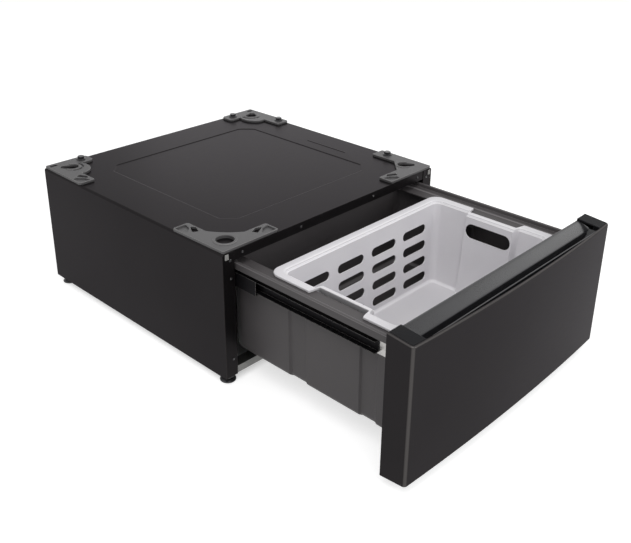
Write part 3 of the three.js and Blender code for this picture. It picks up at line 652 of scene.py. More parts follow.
HALF_WIDTH = 368.5
DEPTH = 722
TOP = 317
BEND = 6
CABINET_SHEET = 1.2
FIELD_HALF = 250.5
FIELD_START = 118
FIELD_END = 610
FIELD_CHAMFER = 32
FIELD_ROUND = 16
BEAD_X = 290.5
BEAD_MIDDLE = 317
BEAD_LENGTH = 148
BEAD_WIDTH = 6
# A stamp's steps run inward from its outline, as (offset, height above the top).
FIELD_STEPS = ((1.4, 0), (0.6, -0.08), (-0.3, -0.4), (-1.5, -0.95), (-2.5, -1.35), (-3.8, -1.5))
BEAD_STEPS = ((0.2, 0), (-0.5, 0.25), (-1.2, 0.75), (-2, 0.95))


def field_outline():
    right = [
        (FIELD_HALF - FIELD_CHAMFER, FIELD_START),
        (FIELD_HALF, FIELD_START + FIELD_CHAMFER),
        (FIELD_HALF, FIELD_END - FIELD_CHAMFER),
        (FIELD_HALF - FIELD_CHAMFER, FIELD_END),
    ]
    return rounded(right + mirrored(right), FIELD_ROUND)


def cabinet_wrap():
    """One bent sheet: top and both sides, with a shallow stamped field and one bead on top."""
    bm = bmesh.new()
    line = [(HALF_WIDTH, 0)] + arc(HALF_WIDTH - BEND, TOP - BEND, BEND, 0, QUARTER, 8)
    corners = {}
    for sign in (1, -1):
        front = [bm.verts.new(spot(sign * x, 0, z)) for x, z in line]
        back = [bm.verts.new(spot(sign * x, DEPTH, z)) for x, z in line]
        for i in range(len(line) - 1):
            bm.faces.new((front[i], back[i], back[i + 1], front[i + 1]))
        corners[sign] = (front[-1], back[-1])
    rings = [[corners[1][0], corners[1][1], corners[-1][1], corners[-1][0]]]
    bead = [(BEAD_X + v, BEAD_MIDDLE + u) for u, v in stadium(0, 0, BEAD_LENGTH, BEAD_WIDTH, 6)]
    for loop, steps in ((field_outline(), FIELD_STEPS), (bead, BEAD_STEPS)):
        loop = wound(loop)
        made = []
        for away, height in steps:
            made.append([bm.verts.new(spot(x, y, TOP + height)) for x, y in offset(loop, away)])
        ring_wall(bm, made)
        bm.faces.new(made[-1])
        rings.append(made[0])
    fill(bm, rings)
    modifiers = (thickened(CABINET_SHEET), bevel(0.4, 60))
    finish_piece("cabinet_wrap_sheet", bm, "cabinet_wrap", modifiers)


cabinet_wrap()

# ---------------------------------------------------------------- corner brackets

# Places on a bracket are distances from the cabinet's side and from its front or rear edge.
BRACKET_LOW = 317.3
BRACKET_TOP = 323.3
RING_HEIGHT = 1.6
BRACKET_ROUND = 1.1
SETBACK = 1
ARM = 45
SIDE_REACH = 172
REACH = 168
LOBED_REACH = 124
INNER_CURVE = ((103.5, ARM), (67.5, 67.5), (ARM, 108))
INNER_CHAMFER = 93
LOBE_CENTRE = (52, 66)
LOBE_RADII = (38, 46)
LOBE_TURN = (-0.474, 1.756)
ROUND_HOLE = (45, 43, 21)
KEYHOLE = (50, 56, 17)
KEYHOLE_TURN = math.radians(222.3)
KEYHOLE_OPENING = (0.96, 5.32)  # the ends of its round part, counted from KEYHOLE_TURN
KEYHOLE_TIP = ((23, 41), (33, 31))
RING_TURN = (1.0, 5.28)  # the ends of the ring beside it, counted the same way
GROOVE_RADII = (30, 25)
GROOVE_TURN = (-0.45, 2.05)
GROOVE_DEPTH = 3.4
POCKET = ((5, 167), (34, 167), (29, 148), (14, 132), (5, 136))
POCKET_DEPTH = 4.2
SLOT = ((20, 125), (33, 118), (43, 140), (36, 153))
ACROSS_SHIFT = 4  # the pocket and slot of the other arm lie this much nearer to the corner
CORNER_WINDOW = ((9, 9), (29, 9), (29, 21), (9, 21))
# The ring beside a hole, as (distance from the hole's edge, height above the bracket's top).
ROUND_RING = (
    (6.8, 0),
    (6.2, 0.3),
    (5.9, RING_HEIGHT - 0.4),
    (5.4, RING_HEIGHT),
    (1, RING_HEIGHT),
    (0.3, RING_HEIGHT - 0.3),
    (0, RING_HEIGHT - 1),
)
KEYHOLE_RING = (
    (0.2, -1),
    (0.2, RING_HEIGHT - 0.7),
    (0.9, RING_HEIGHT - 0.1),
    (1.6, RING_HEIGHT),
    (4.4, RING_HEIGHT),
    (5.4, RING_HEIGHT - 0.4),
    (5.9, RING_HEIGHT - 1.1),
    (5.9, -1),
)
BRACKETS = (
    ("front_left", -1, False, "round", ("side", "across")),
    ("front_right", 1, False, "keyhole", ("across",)),
    ("rear_left", -1, True, "lobed", ("side",)),
    ("rear_right", 1, True, "lobed", ()),
)


def bracket_outline(style):
    """The bracket from above: two arms, joined inside by a curve, a chamfer or a lobe."""
    if style == "round":
        a, b, c = (Vector(point) for point in INNER_CURVE)
        inner = [tuple(a * (1 - t) ** 2 + b * 2 * t * (1 - t) + c * t * t) for t in shares(14)]
    elif style == "keyhole":
        chamfer = [(REACH, ARM), (INNER_CHAMFER, ARM), (ARM, INNER_CHAMFER), (ARM, SIDE_REACH)]
        inner = rounded(chamfer, [0, 14, 14, 0])[1:-1]
    else:
        (cx, cy), (rx, ry), (start, end) = LOBE_CENTRE, LOBE_RADII, LOBE_TURN
        turns = [start + (end - start) * t for t in shares(20)]
        inner = [(cx + rx * math.cos(t), cy + ry * math.sin(t)) for t in turns]
    reach, tip = (LOBED_REACH, 12) if style == "lobed" else (REACH, 6)
    across = [(ARM, 100), (SETBACK, SETBACK), (reach, SETBACK), (reach, ARM), (95, ARM)]
    along = [(ARM, 100), (ARM, SIDE_REACH), (SETBACK, SIDE_REACH), (SETBACK, 100)]
    return rounded(across, [0, 4, tip, tip, 0])[1:-1] + inner + rounded(along, [0, 6, 6, 0])[1:-1]


def bracket(name, side, rear, style, hooks):
    def laid(loop):
        return [(side * (HALF_WIDTH - u), DEPTH - v if rear else v) for u, v in loop]

    def blind(loop, depth):
        steps = ((0.7, 0), (0.2, 0.25), (0, 0.8), (-0.3, depth))
        profile = [(away, BRACKET_TOP - drop) for away, drop in steps]
        return (laid(rounded(loop, 2.2, 3)), profile, False)

    def open_slot(loop):
        return (laid(rounded(loop, 1.8, 3)), None, True)

    def turned(loop):
        return [(v - ACROSS_SHIFT, u) for u, v in loop]

    cx, cy, r = ROUND_HOLE if style == "round" else KEYHOLE
    holes = []
    if style == "round":
        profile = [(away, BRACKET_TOP + height) for away, height in ROUND_RING]
        holes.append((laid(arc(cx, cy, r, 0, 4 * QUARTER, 40)[:-1]), profile, True))
    else:
        start, end = KEYHOLE_OPENING
        round_end = arc(cx, cy, r, KEYHOLE_TURN + start, KEYHOLE_TURN + end, 26)
        tail = rounded([round_end[-1], *KEYHOLE_TIP, round_end[0]], [0, 5, 5, 0])[1:-1]
        holes.append((laid(round_end + tail), None, True))
    if style == "lobed":
        (outer, inner), (start, end) = GROOVE_RADII, GROOVE_TURN
        groove = arc(cx, cy, outer, start, end, 20) + arc(cx, cy, inner, end, start, 20)
        holes.append(blind(groove, GROOVE_DEPTH))
    if "side" in hooks:
        holes += [blind(POCKET, POCKET_DEPTH), open_slot(SLOT)]
    if "across" in hooks:
        holes += [blind(turned(POCKET), POCKET_DEPTH), open_slot(turned(SLOT))]
    if rear:
        holes.append(open_slot(CORNER_WINDOW))
    bm = plate(laid(bracket_outline(style)), holes, BRACKET_LOW, BRACKET_TOP, BRACKET_ROUND)
    if style != "round":
        path, sideways = [], []
        start, end = RING_TURN
        for share in shares(30):
            t = KEYHOLE_TURN + start + (end - start) * share
            x, y = laid([(cx + r * math.cos(t), cy + r * math.sin(t))])[0]
            path.append((x, y, BRACKET_TOP))
            sideways.append((-side * math.cos(t), -math.sin(t) if rear else math.sin(t)))
        add_sweep(bm, path, KEYHOLE_RING, sideways)
    finish_piece("bracket_plate_" + name, bm, "corner_bracket_" + name)


for spec in BRACKETS:
    bracket(*spec)

# ---------------------------------------------------------------- fasteners

BOLT_SEAT = BRACKET_TOP + 0.3
BOLT_FLANGE = ((11.6, 0), (12.4, 0.4), (12.4, 1.5), (11.4, 2.1), (9.8, 2.9), (7, 3))
BOLT_FLATS = 17
BOLTS = (
    ("bracket_bolt_front_right", HALF_WIDTH - 20, 138),
    ("bracket_bolt_rear_left", 98 - HALF_WIDTH, DEPTH - 22),
    ("bracket_bolt_rear_right_1", HALF_WIDTH - 96, DEPTH - 22),
    ("bracket_bolt_rear_right_2", HALF_WIDTH - 20, DEPTH - 149),
)
PAN_HEAD = (
    (1.7, -7),
    (1.7, -0.1),
    (3.1, 0),
    (3.4, 0.15),
    (3.35, 0.7),
    (2.9, 1.15),
    (2.1, 1.42),
    (1.1, 1.5),
    (0.9, 0.9),
)
RAIL_SCREWS_X = (-310, -129, 129, 310)
RAIL_SCREWS_Y = 1.7
RAIL_SCREWS_Z = 304
COLUMN_SCREWS_X = 346
COLUMN_SCREWS_Y = 0
COLUMN_SCREWS_Z = (47, 252, 296)


def bracket_bolt(node, x, y):
    """A hexagon head with a flange, on a plain shank."""
    bm = bmesh.new()
    add_rings(bm, lathe_rings(BOLT_FLANGE, (x, y, BOLT_SEAT)))
    add_hexagon(bm, x, y, BOLT_SEAT + 2.6, BOLT_SEAT + 9, BOLT_FLATS, 1)
    add_rings(bm, lathe_rings([(4, -18), (4, 0.4)], (x, y, BOLT_SEAT), steps=20))
    finish_piece(node + "_head", bm, node, slot="black_trim")


def pan_screw(node, x, y, z):
    """A pan head with a small round recess, on a plain shank."""
    bm = bmesh.new()
    add_rings(bm, lathe_rings(PAN_HEAD, (x, y, z), "y", 20))
    finish_piece(node + "_head", bm, node)


for spec in BOLTS:
    bracket_bolt(*spec)
for number, x in enumerate(RAIL_SCREWS_X, 1):
    pan_screw(f"rail_screw_{number}", x, RAIL_SCREWS_Y, RAIL_SCREWS_Z)
for side, sign in SIDES:
    for number, z in enumerate(COLUMN_SCREWS_Z, 1):
        pan_screw(f"column_screw_{side}_{number}", sign * COLUMN_SCREWS_X, COLUMN_SCREWS_Y, z)

# ---------------------------------------------------------------- levelling feet

FOOT_X = 345
FOOT_Y = {"front": 24, "rear": DEPTH - 24}
# Pad and stud as (radius, height above the floor).
FOOT_PAD = (
    (16.5, 0),
    (18, 0.4),
    (19, 1.6),
    (19, 3.4),
    (18.4, 4.6),
    (16, 5.8),
    (15, 7),
    (13.5, 8),
)
FOOT_FLATS = 24
THREAD_START = 16.2
THREAD_END = 45
THREAD_PITCH = 1.5
THREAD_ROOT = 4.4
THREAD_CREST = 5
NUT_FLATS = 17
NUT_LOW, NUT_HIGH = -3.7, 1.7


def levelling_foot(end, side, sign):
    """A round pad with a soft lower edge, a hexagon to turn it by, a threaded stud and its nut."""
    x, y, floor = sign * FOOT_X, FOOT_Y[end], -Z_LIFT
    bm = bmesh.new()
    add_rings(bm, lathe_rings(FOOT_PAD, (x, y, floor), steps=48))
    add_hexagon(bm, x, y, floor + 7.6, floor + 16, FOOT_FLATS, 1.2)
    stud = [(THREAD_ROOT, THREAD_START - 0.7)]
    z = THREAD_START
    while z < THREAD_END:
        stud += [(THREAD_ROOT, z), (THREAD_CREST, z + THREAD_PITCH / 2)]
        z += THREAD_PITCH
    stud += [(4.2, THREAD_END + 0.4), (3.6, THREAD_END + 1)]
    add_rings(bm, lathe_rings(stud, (x, y, floor), steps=24))
    node = f"levelling_foot_{end}_{side}"
    finish_piece(node + "_turned", bm, node)

    bm = bmesh.new()
    add_hexagon(bm, x, y, NUT_LOW, NUT_HIGH, NUT_FLATS, 0.7)
    node = f"foot_lock_nut_{end}_{side}"
    finish_piece(node + "_hexagon", bm, node)


for side, sign in SIDES:
    for end in ("front", "rear"):
        levelling_foot(end, side, sign)

# ---------------------------------------------------------------- drawer tub

TUB_HALF = 310.0
TUB_FRONT = -448.7
TUB_BACK = 55.0
TUB_BOTTOM = 45
TUB_RIM = 284
TUB_WALL = 3
TUB_LEAN = 4  # how far the walls lean in from the ledge down to the bottom
FLOOR_ROUND = 14
FRONT_CORNER = 12
BACK_CORNER = 40
RIM_OUT = 20
RIM_SKIRT = 16
LEDGE = 274
UNDER_LEDGE = LEDGE - TUB_WALL
SHELF = 271.2  # the inner shelf that the laundry basket's rim passes over
FLUTE_DEPTH = 5
FLUTE_TOP = 224
FLUTE_FADE = 6  # a flute fades out over this height below and above its top
FLUTE_RAMP = 6
FLUTES = ((65, 112), (258, 312))
# The rim's outside and top, as (height, inset from the rim's outer side).
RIM_STEPS = (
    (UNDER_LEDGE, 4),
    (UNDER_LEDGE - 1, 3),
    (TUB_RIM - RIM_SKIRT, 3),
    (TUB_RIM - RIM_SKIRT, 0.6),
    (TUB_RIM - RIM_SKIRT + 0.6, 0),
    (TUB_RIM - 2.2, 0),
    (TUB_RIM - 0.8, 0.5),
    (TUB_RIM, 2),
    (TUB_RIM, 6),
    (TUB_RIM - 0.5, 7.4),
    (TUB_RIM - 2, 8),
    (LEDGE + 1.5, 8.2),
    (LEDGE + 0.4, 8.8),
    (LEDGE, 10),
    (LEDGE, 20),
    (LEDGE - 0.7, 22.1),
    (LEDGE - 2, 23),
)
# The shelf, as (height above its top, inset at the sides, inset at the ends).
SHELF_STEPS = (
    (0.7, 3.3, 3.3),
    (0, 5, 5),
    (0, 29.6, 13),
    (-0.4, 30.6, 14),
    (-1.5, 31, 14.4),
    (-3.5, 31, 14.4),
    (-4, 30.6, 14),
    (-4, 5, 5),
    (-5, 3.2, 3.2),
)


def tub_outline(out, flute_depth, out_at_ends=None):
    """The tub seen from above, moved outward by a distance, with its flutes pressed in.

    The rim is cut off straight at TUB_FRONT, 1 mm before the front wall.
    """
    half = TUB_HALF + out
    out_at_ends = out if out_at_ends is None else out_at_ends
    front, back = TUB_FRONT + 1 - out_at_ends, TUB_BACK + out_at_ends
    front_round = 3 if out > 0 else max(FRONT_CORNER + out, 4)
    back_round = max(BACK_CORNER + out, 6)
    right = arc(half - front_round, front + front_round, front_round, -QUARTER, 0, 5)
    for start, end in FLUTES:
        right += pressed_in(half, TUB_FRONT + start, TUB_FRONT + end, flute_depth, FLUTE_RAMP, 5)
    right += arc(half - back_round, back - back_round, back_round, 0, QUARTER, 12)
    return [(x, max(y, TUB_FRONT)) for x, y in right + mirrored(right)]


def lean(z):
    return -TUB_LEAN * (UNDER_LEDGE - z) / (UNDER_LEDGE - TUB_BOTTOM)


def drawer_tub():
    """One skin: up the outside, over the rim, round the shelf and down the inside."""
    levels = []
    for k, (inset, lift) in enumerate(quarter_round(FLOOR_ROUND, 4)):
        z = TUB_BOTTOM + lift
        levels.append((z, lean(z) - inset, FLUTE_DEPTH * min(1, k / 2)))
    for t in shares(4):
        z = FLUTE_TOP + FLUTE_FADE * (2 * t - 1)
        levels.append((z, lean(z), FLUTE_DEPTH * smooth_step(1 - t)))
    levels += [(UNDER_LEDGE - 1, 0, 0), (UNDER_LEDGE, 0.8, 0)]
    levels += [(z, RIM_OUT - inset, 0) for z, inset in RIM_STEPS]
    levels += [(SHELF + rise, -sides, 0, -ends) for rise, sides, ends in SHELF_STEPS]
    for t in shares(4):
        z = FLUTE_TOP - FLUTE_FADE * (2 * t - 1)
        levels.append((z, lean(z) - TUB_WALL, FLUTE_DEPTH * smooth_step(t)))
    for k, (inset, lift) in reversed(list(enumerate(quarter_round(FLOOR_ROUND - TUB_WALL, 4)))):
        z = TUB_BOTTOM + TUB_WALL + lift
        levels.append((z, lean(z) - TUB_WALL - inset, FLUTE_DEPTH * min(1, k / 2)))
    bm = bmesh.new()
    add_rings(bm, [[(x, y, z) for x, y in tub_outline(*shape)] for z, *shape in levels])
    finish_piece("tub_moulding", bm, "drawer_tub")


drawer_tub()

# ---------------------------------------------------------------- drawer front

FRONT_REAR = -449
FRONT_FACE = -522
FRONT_TOP = 324
FRONT_SHEET = 1.5
TOP_HEM = 5  # the sheet's upper edge is folded in by this
TOP_ROUND = 4.2
BOTTOM_ROUND = 3.0
SLOPE = 6 / 62  # the top falls and the bottom rises toward the face
BOW = 11
CORNER = 8
CHORD = HALF_WIDTH - CORNER
BOW_RADIUS = (CHORD**2 + BOW**2) / (2 * BOW)
BOW_CENTRE = FRONT_FACE + BOW_RADIUS
CORNER_Y = BOW_CENTRE - math.sqrt((BOW_RADIUS - CORNER) ** 2 - CHORD**2)
MEET = math.asin(CHORD / (BOW_RADIUS - CORNER))


def front_plan(inset):
    """The front seen from above, open at the rear: side, corner, one shallow arc, corner, side."""
    corner = arc(CHORD, CORNER_Y, CORNER - inset, 0, -QUARTER + MEET, 10)
    bow = arc(0, BOW_CENTRE, BOW_RADIUS - inset, -QUARTER + MEET, -QUARTER - MEET, 48)[1:-1]
    side = [(HALF_WIDTH - inset, FRONT_REAR + (CORNER_Y - FRONT_REAR) * t) for t in shares(4)[:-1]]
    return side + corner + bow + mirrored(side + corner)


def front_top(y, drop=0):
    return FRONT_TOP - drop - SLOPE * (FRONT_REAR - y)


def front_bottom(y, rise):
    return rise + SLOPE * (FRONT_REAR - y)


def front_skin():
    rows = [[(x, y, front_top(y)) for x, y in front_plan(TOP_HEM)]]
    for inset, drop in quarter_round(TOP_ROUND, 6):
        rows.append([(x, y, front_top(y, drop)) for x, y in front_plan(inset)])
    for inset, rise in reversed(quarter_round(BOTTOM_ROUND, 4)):
        rows.append([(x, y, front_bottom(y, rise)) for x, y in front_plan(inset)])
    bm = bmesh.new()
    made = [[bm.verts.new(spot(*p)) for p in row] for row in rows]
    for low, high in zip(made, made[1:]):
        for i in range(len(low) - 1):
            bm.faces.new((low[i], low[i + 1], high[i + 1], high[i]))
    bm.faces.new(made[-1])
    modifiers = (thickened(FRONT_SHEET), bevel(0.4, 60))
    skin = finish_piece("front_skin_sheet", bm, "drawer_front_skin", modifiers)
    # The front's sheet takes the look with painted highlights on its rounded edges and corners.
    skin.data.materials[0] = LOOKS["front_steel"]


front_skin()

# ---------------------------------------------------------------- grip and end caps

GRIP_REAR = -449.3
GRIP_FRONT = -507.6
GRIP_BASE = 281.3
GRIP_TOP = FRONT_TOP - 5
RIDGE = GRIP_REAR - 5
SLOPE_END = RIDGE - 28
GROOVE_FLOOR = FRONT_TOP - 39
END_CURVE = 14  # over this length the slope curves up to the end walls
END_FADE = 58  # and over this length the groove's floor does
GRIP_STATIONS = (0, 0.6, 1.5, 3, 5, 8, 11, 14, 20, 28, 36, 46, END_FADE)
CAP_INNER = 327.5
CAP_OUTER = 363.2
CAP_INNER_FRONT = -507.4
CAP_OUTER_FRONT = -505.4
CAP_ROUND = 1.6
MOUTH_LOW = 307
MOUTH_HIGH = 317.5
MOUTH_FRONT = -492
MOUTH_REAR = -460
MOUTH_START = CAP_INNER - 3
MOUTH_END_FRONT = HALF_WIDTH - 24
MOUTH_END_REAR = HALF_WIDTH - 33


def grip_section(rise, fade):
    """Rear face, ridge, slope, groove, front wall. Both shares are 1 at the end walls."""
    top, lip = GRIP_TOP, front_top(GRIP_FRONT) - 3
    end = top - 16.2 + 6 * rise
    floor = GROOVE_FLOOR + (end - 0.8 - GROOVE_FLOOR) * fade
    return [
        (GRIP_REAR, GRIP_BASE),
        (GRIP_REAR, top - 1.5),
        (GRIP_REAR - 0.5, top - 0.4),
        (GRIP_REAR - 1.6, top),
        (RIDGE + 1, top),
        (RIDGE - 1, top - 0.3),
        (RIDGE - 6, top - 2.5 + 0.8 * rise),
        (RIDGE - 12, top - 5.4 + 2 * rise),
        (RIDGE - 19, top - 9.3 + 3.6 * rise),
        (SLOPE_END + 3, top - 13 + 5.2 * rise),
        (SLOPE_END + 0.8, top - 14.4 + 6 * rise),
        (SLOPE_END, end),
        (SLOPE_END - 0.2, min(floor + 3, end - 0.4)),
        (SLOPE_END - 2.5, floor),
        (GRIP_FRONT + 4, floor),
        (GRIP_FRONT + 1.5, floor + 0.8),
        (GRIP_FRONT + 1.5, lip),
        (GRIP_FRONT - 1.4, lip),
        (GRIP_FRONT - 1.4, GRIP_BASE),
    ]


def grip_trim():
    """The black trim between the end caps: a slope that leads fingers into a groove."""
    half = CAP_INNER - 0.3
    stations = [-half + s for s in GRIP_STATIONS] + [half - s for s in reversed(GRIP_STATIONS)]
    rings = []
    for x in stations:
        away = half - abs(x)
        rise = 1 - math.sqrt(1 - max(1 - away / END_CURVE, 0) ** 2)
        fade = smooth_step(1 - away / END_FADE) ** 1.5
        rings.append([(x, y, z) for y, z in grip_section(rise, fade)])
    bm = bmesh.new()
    add_rings(bm, rings)
    finish_piece("grip_trim_moulding", bm, "grip_trim", (bevel(0.4, 50),))


def end_cap(side, sign):
    """A black cap at the end of the trim, hollow behind a wedge-shaped mouth in its inner wall."""
    loop = [
        (sign * CAP_INNER, GRIP_REAR),
        (sign * CAP_OUTER, GRIP_REAR),
        (sign * CAP_OUTER, CAP_OUTER_FRONT),
        (sign * CAP_INNER, CAP_INNER_FRONT),
    ]
    base = wound(rounded(loop, [1, 1.5, 2, 1], 4))
    rings = []
    for inset, drop in quarter_round(CAP_ROUND, 3):
        rings.append([(x, y, front_top(y, drop)) for x, y in offset(base, -inset)])
    rings.append([(x, y, GRIP_BASE) for x, y in base])
    bm = bmesh.new()
    add_rings(bm, rings)
    mouth = [
        (sign * MOUTH_START, MOUTH_FRONT),
        (sign * MOUTH_END_FRONT, MOUTH_FRONT),
        (sign * MOUTH_END_REAR, MOUTH_REAR),
        (sign * MOUTH_START, MOUTH_REAR),
    ]
    tool = cutter([[(x, y, z) for x, y in mouth] for z in (MOUTH_LOW, MOUTH_HIGH)])
    modifiers = (cut_by(tool), bevel(0.3, 50))
    cap = finish_piece(f"end_cap_{side}_moulding", bm, f"front_end_cap_{side}", modifiers)
    cap.data.materials[0] = LOOKS["cap_black"]
    discard(tool)


grip_trim()
for side, sign in SIDES:
    end_cap(side, sign)

# ---------------------------------------------------------------- laundry basket

BASKET_HALF = 298.0
BASKET_BACK = -66.0
BASKET_FRONT = -432.0
BASKET_RIM = 278
BASKET_BOTTOM = 48.3
BASKET_WALL = 2.6
UNDER_RIM = BASKET_RIM - 3
BASKET_FLOOR = BASKET_BOTTOM + 6.5  # the underside of the raised floor
BASKET_FLOOR_ROUND = 9
SIDE_LEAN, END_LEAN = 22, 16  # how far the walls lean in from the rim down to the bottom
RIM_WIDTH = 22
RIM_FLAT = 18  # over this width the rim's outline turns into the wall's
RIM_CORNER, WALL_CORNER = 28, 20
NOTCH = (121, 269)  # a handle step's ends, from the basket's rear
NOTCH_RAMP = 8
RIM_NOTCH, WALL_NOTCH = 27, 17
NOTCH_LIP = 15.6  # how much deeper the rim's lip is below each handle step
NOTCH_TUCK = 7.5  # how far that part of the lip leans in under the rim
SLOTS = 4  # columns and rows of slots in the front and rear walls
SLOT_PITCH = 120
SLOT_LOW, SLOT_HIGH = 85.3, 217
SLOT_SIZE = (92, 24)
HANDLE_HEIGHT = 236.5
HANDLE_SIZE = (128, 37)
PAST_WALL = 5


def basket_outline(side, end, notch, radius):
    half = BASKET_HALF - side
    front, back = BASKET_FRONT + end, BASKET_BACK - end
    near, far = BASKET_BACK - NOTCH[1], BASKET_BACK - NOTCH[0]
    right = arc(half - radius, front + radius, radius, -QUARTER, 0, 9)
    right += pressed_in(half, near, far, notch, NOTCH_RAMP, 6)
    right += arc(half - radius, back - radius, radius, 0, QUARTER, 9)
    return right + mirrored(right)


def wall_ring(z, inset):
    share = (UNDER_RIM - z) / (UNDER_RIM - BASKET_BOTTOM)
    side, end = RIM_WIDTH + SIDE_LEAN * share + inset, RIM_WIDTH + END_LEAN * share + inset
    outline = basket_outline(side, end, WALL_NOTCH, max(WALL_CORNER - inset, 4))
    return [(x, y, z) for x, y in outline]


def rim_ring(z, inset, lower=0, tuck=0):
    """A ring of the rim. The stretch within each handle step can be lowered and tucked in."""
    t = min(inset / RIM_FLAT, 1)
    notch = RIM_NOTCH + (WALL_NOTCH - RIM_NOTCH) * t + tuck
    corner = RIM_CORNER + (WALL_CORNER - RIM_CORNER) * t
    start, ramp = 5, 3
    ring = []
    for x, y in basket_outline(inset, inset, notch, corner):
        from_near, from_far = y - BASKET_BACK + NOTCH[1], BASKET_BACK - NOTCH[0] - y
        share = smooth_step((from_near - start) / ramp) * smooth_step((from_far - start) / ramp)
        beside = abs(x) > BASKET_HALF - 60
        ring.append((x, y, z - lower * share if beside else z))
    return ring


def basket_rings():
    """One skin: the floor's underside, up the outside, over the rim and down to the floor."""
    wall, rim, lip = BASKET_WALL, BASKET_RIM, BASKET_RIM - 6
    rings = [wall_ring(BASKET_FLOOR, wall + 8), wall_ring(BASKET_FLOOR, wall)]
    rings += [wall_ring(BASKET_BOTTOM, wall), wall_ring(BASKET_BOTTOM, 0)]
    rings += [wall_ring(UNDER_RIM - 2.5, 0), rim_ring(UNDER_RIM, 18.5)]
    rings += [rim_ring(UNDER_RIM, 3), rim_ring(UNDER_RIM - 0.6, 2.2, tuck=1)]
    for z, inset in ((lip, 2), (lip, 0.5), (lip + 0.5, 0)):
        rings.append(rim_ring(z, inset, NOTCH_LIP, NOTCH_TUCK))
    rings += [rim_ring(rim - drop, inset) for inset, drop in reversed(quarter_round(2.6, 4))]
    rings += [rim_ring(rim, 9), rim_ring(rim, 15.5), rim_ring(rim - 0.6, 17.6)]
    rings += [wall_ring(rim - 2, -1.6), wall_ring(rim - 5, -1.2)]
    rings += [wall_ring(rim - 6.2, -0.4), wall_ring(rim - 7.4, wall)]
    for inset, lift in reversed(quarter_round(BASKET_FLOOR_ROUND, 5)):
        rings.append(wall_ring(BASKET_FLOOR + wall + lift, wall + inset))
    return rings


def basket_holes():
    """The slots through the front and rear walls and the handle hole through both sides."""
    solids = []
    for column in range(SLOTS):
        for row in range(SLOTS):
            x = (column - (SLOTS - 1) / 2) * SLOT_PITCH
            z = SLOT_LOW + row * (SLOT_HIGH - SLOT_LOW) / (SLOTS - 1)
            slot = stadium(x, z, *SLOT_SIZE)
            ends = (BASKET_FRONT - PAST_WALL, BASKET_BACK + PAST_WALL)
            solids.append([[(u, y, v) for u, v in slot] for y in ends])
    handle = stadium(BASKET_BACK - sum(NOTCH) / 2, HANDLE_HEIGHT, *HANDLE_SIZE, 12)
    ends = (-BASKET_HALF - PAST_WALL, BASKET_HALF + PAST_WALL)
    solids.append([[(x, u, v) for u, v in handle] for x in ends])
    return solids


def laundry_basket():
    bm = bmesh.new()
    add_rings(bm, basket_rings())
    tool = cutter(*basket_holes())
    modifiers = (cut_by(tool), bevel(0.6, 55))
    finish_piece("laundry_basket_moulding", bm, "laundry_basket", modifiers)
    discard(tool)


laundry_basket()

# ---------------------------------------------------------------- light and floor

WHITE = (1, 1, 1, 1)
WORLD_LIGHT = 0.5
LAMPS = (  # name, place, target, size, power
    ("key", (-1.6, -1.2, 3.2), (0, 0, 0.2), (2.4, 2.4), 55),
    ("front", (0.4, -3.6, 1.9), (0, -0.4, 0.2), (2.2, 1.6), 40),
    ("back", (2.9, 2.9, 1.6), (0, 0, 0.3), (2.4, 1.0), 8),
    ("side", (3.1, -1.0, 2.35), (0.1, -0.6, 0.3), (1.4, 0.9), 9),
)
FLOOR_GREY = (0.62, 0.62, 0.62, 1)
FLOOR_GLOW = 0.67
FLOOR_SIZE = 60
FLOOR_DROP = 0.0005
CABINET_MIDDLE = (DEPTH / 2 + Y_SHIFT) * MM
GLOW_BESIDE = (0.29, 0.36)  # where the glow starts and is full, from the cabinet's middle
GLOW_ALONG = (0.28, 0.355)


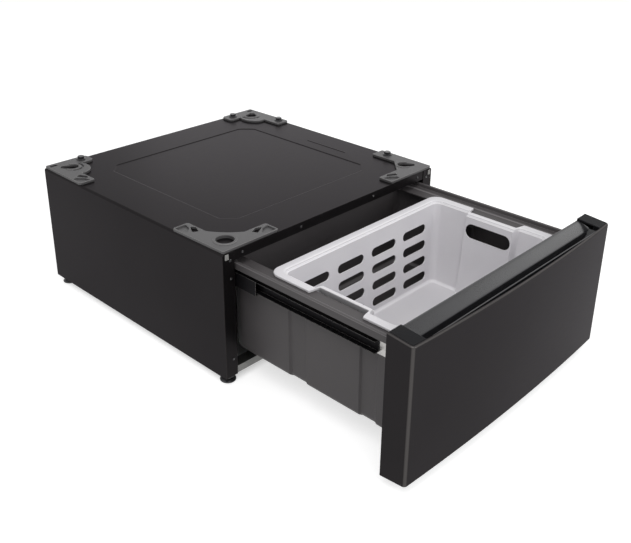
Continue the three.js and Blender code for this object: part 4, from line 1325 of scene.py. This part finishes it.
def light_world():
    """A world that is white to the camera and to reflections, and dimmer as light."""
    world = bpy.data.worlds.new("studio")
    scene.world = world
    n = Nodes(world, "ShaderNodeOutputWorld")
    path = n.add("ShaderNodeLightPath").outputs
    seen = n.math("MAXIMUM", path["Is Camera Ray"], path["Is Glossy Ray"])
    seen = n.math("MAXIMUM", seen, path["Is Transmission Ray"])
    mix = n.add("ShaderNodeMixShader")
    n.feed(mix.inputs[0], seen)
    for socket, strength in ((mix.inputs[1], WORLD_LIGHT), (mix.inputs[2], 1.0)):
        sky = n.add("ShaderNodeBackground", Color=WHITE, Strength=strength)
        n.feed(socket, sky.outputs[0])
    n.feed(n.output.inputs["Surface"], mix.outputs[0])


def soft_box(name, place, target, size, power):
    data = bpy.data.lights.new(name, "AREA")
    data.shape = "RECTANGLE"
    data.size, data.size_y = size
    data.energy = power
    lamp = bpy.data.objects.new(name, data)
    lamp.location = place
    lamp.rotation_euler = (Vector(target) - Vector(place)).to_track_quat("-Z", "Y").to_euler()
    scene.collection.objects.link(lamp)


def lay_floor():
    """A matt floor that glows white to the camera and in reflections, but not under the cabinet."""
    bpy.ops.mesh.primitive_plane_add(size=FLOOR_SIZE, location=(0, 0, -FLOOR_DROP))
    floor = bpy.context.object
    floor.name = "floor"
    n = Nodes(bpy.data.materials.new("floor"))
    path = n.add("ShaderNodeLightPath").outputs
    seen = n.math("MAXIMUM", path["Is Camera Ray"], path["Is Glossy Ray"])
    place = n.add("ShaderNodeSeparateXYZ", Vector=n.coordinates()).outputs
    beside = n.remap(n.math("ABSOLUTE", place["X"]), 0, 1, *GLOW_BESIDE)
    from_middle = n.math("ABSOLUTE", n.math("SUBTRACT", place["Y"], CABINET_MIDDLE))
    outside = n.math("MAXIMUM", beside, n.remap(from_middle, 0, 1, *GLOW_ALONG))
    strength = n.math("MULTIPLY", n.math("MULTIPLY", seen, FLOOR_GLOW), outside)
    both = n.add("ShaderNodeAddShader")
    n.feed(both.inputs[0], n.add("ShaderNodeEmission", Strength=strength).outputs[0])
    n.feed(both.inputs[1], n.add("ShaderNodeBsdfDiffuse", Color=FLOOR_GREY).outputs[0])
    n.feed(n.output.inputs["Surface"], both.outputs[0])
    floor.data.materials.append(n.owner)


light_world()
for spec in LAMPS:
    soft_box(*spec)
lay_floor()
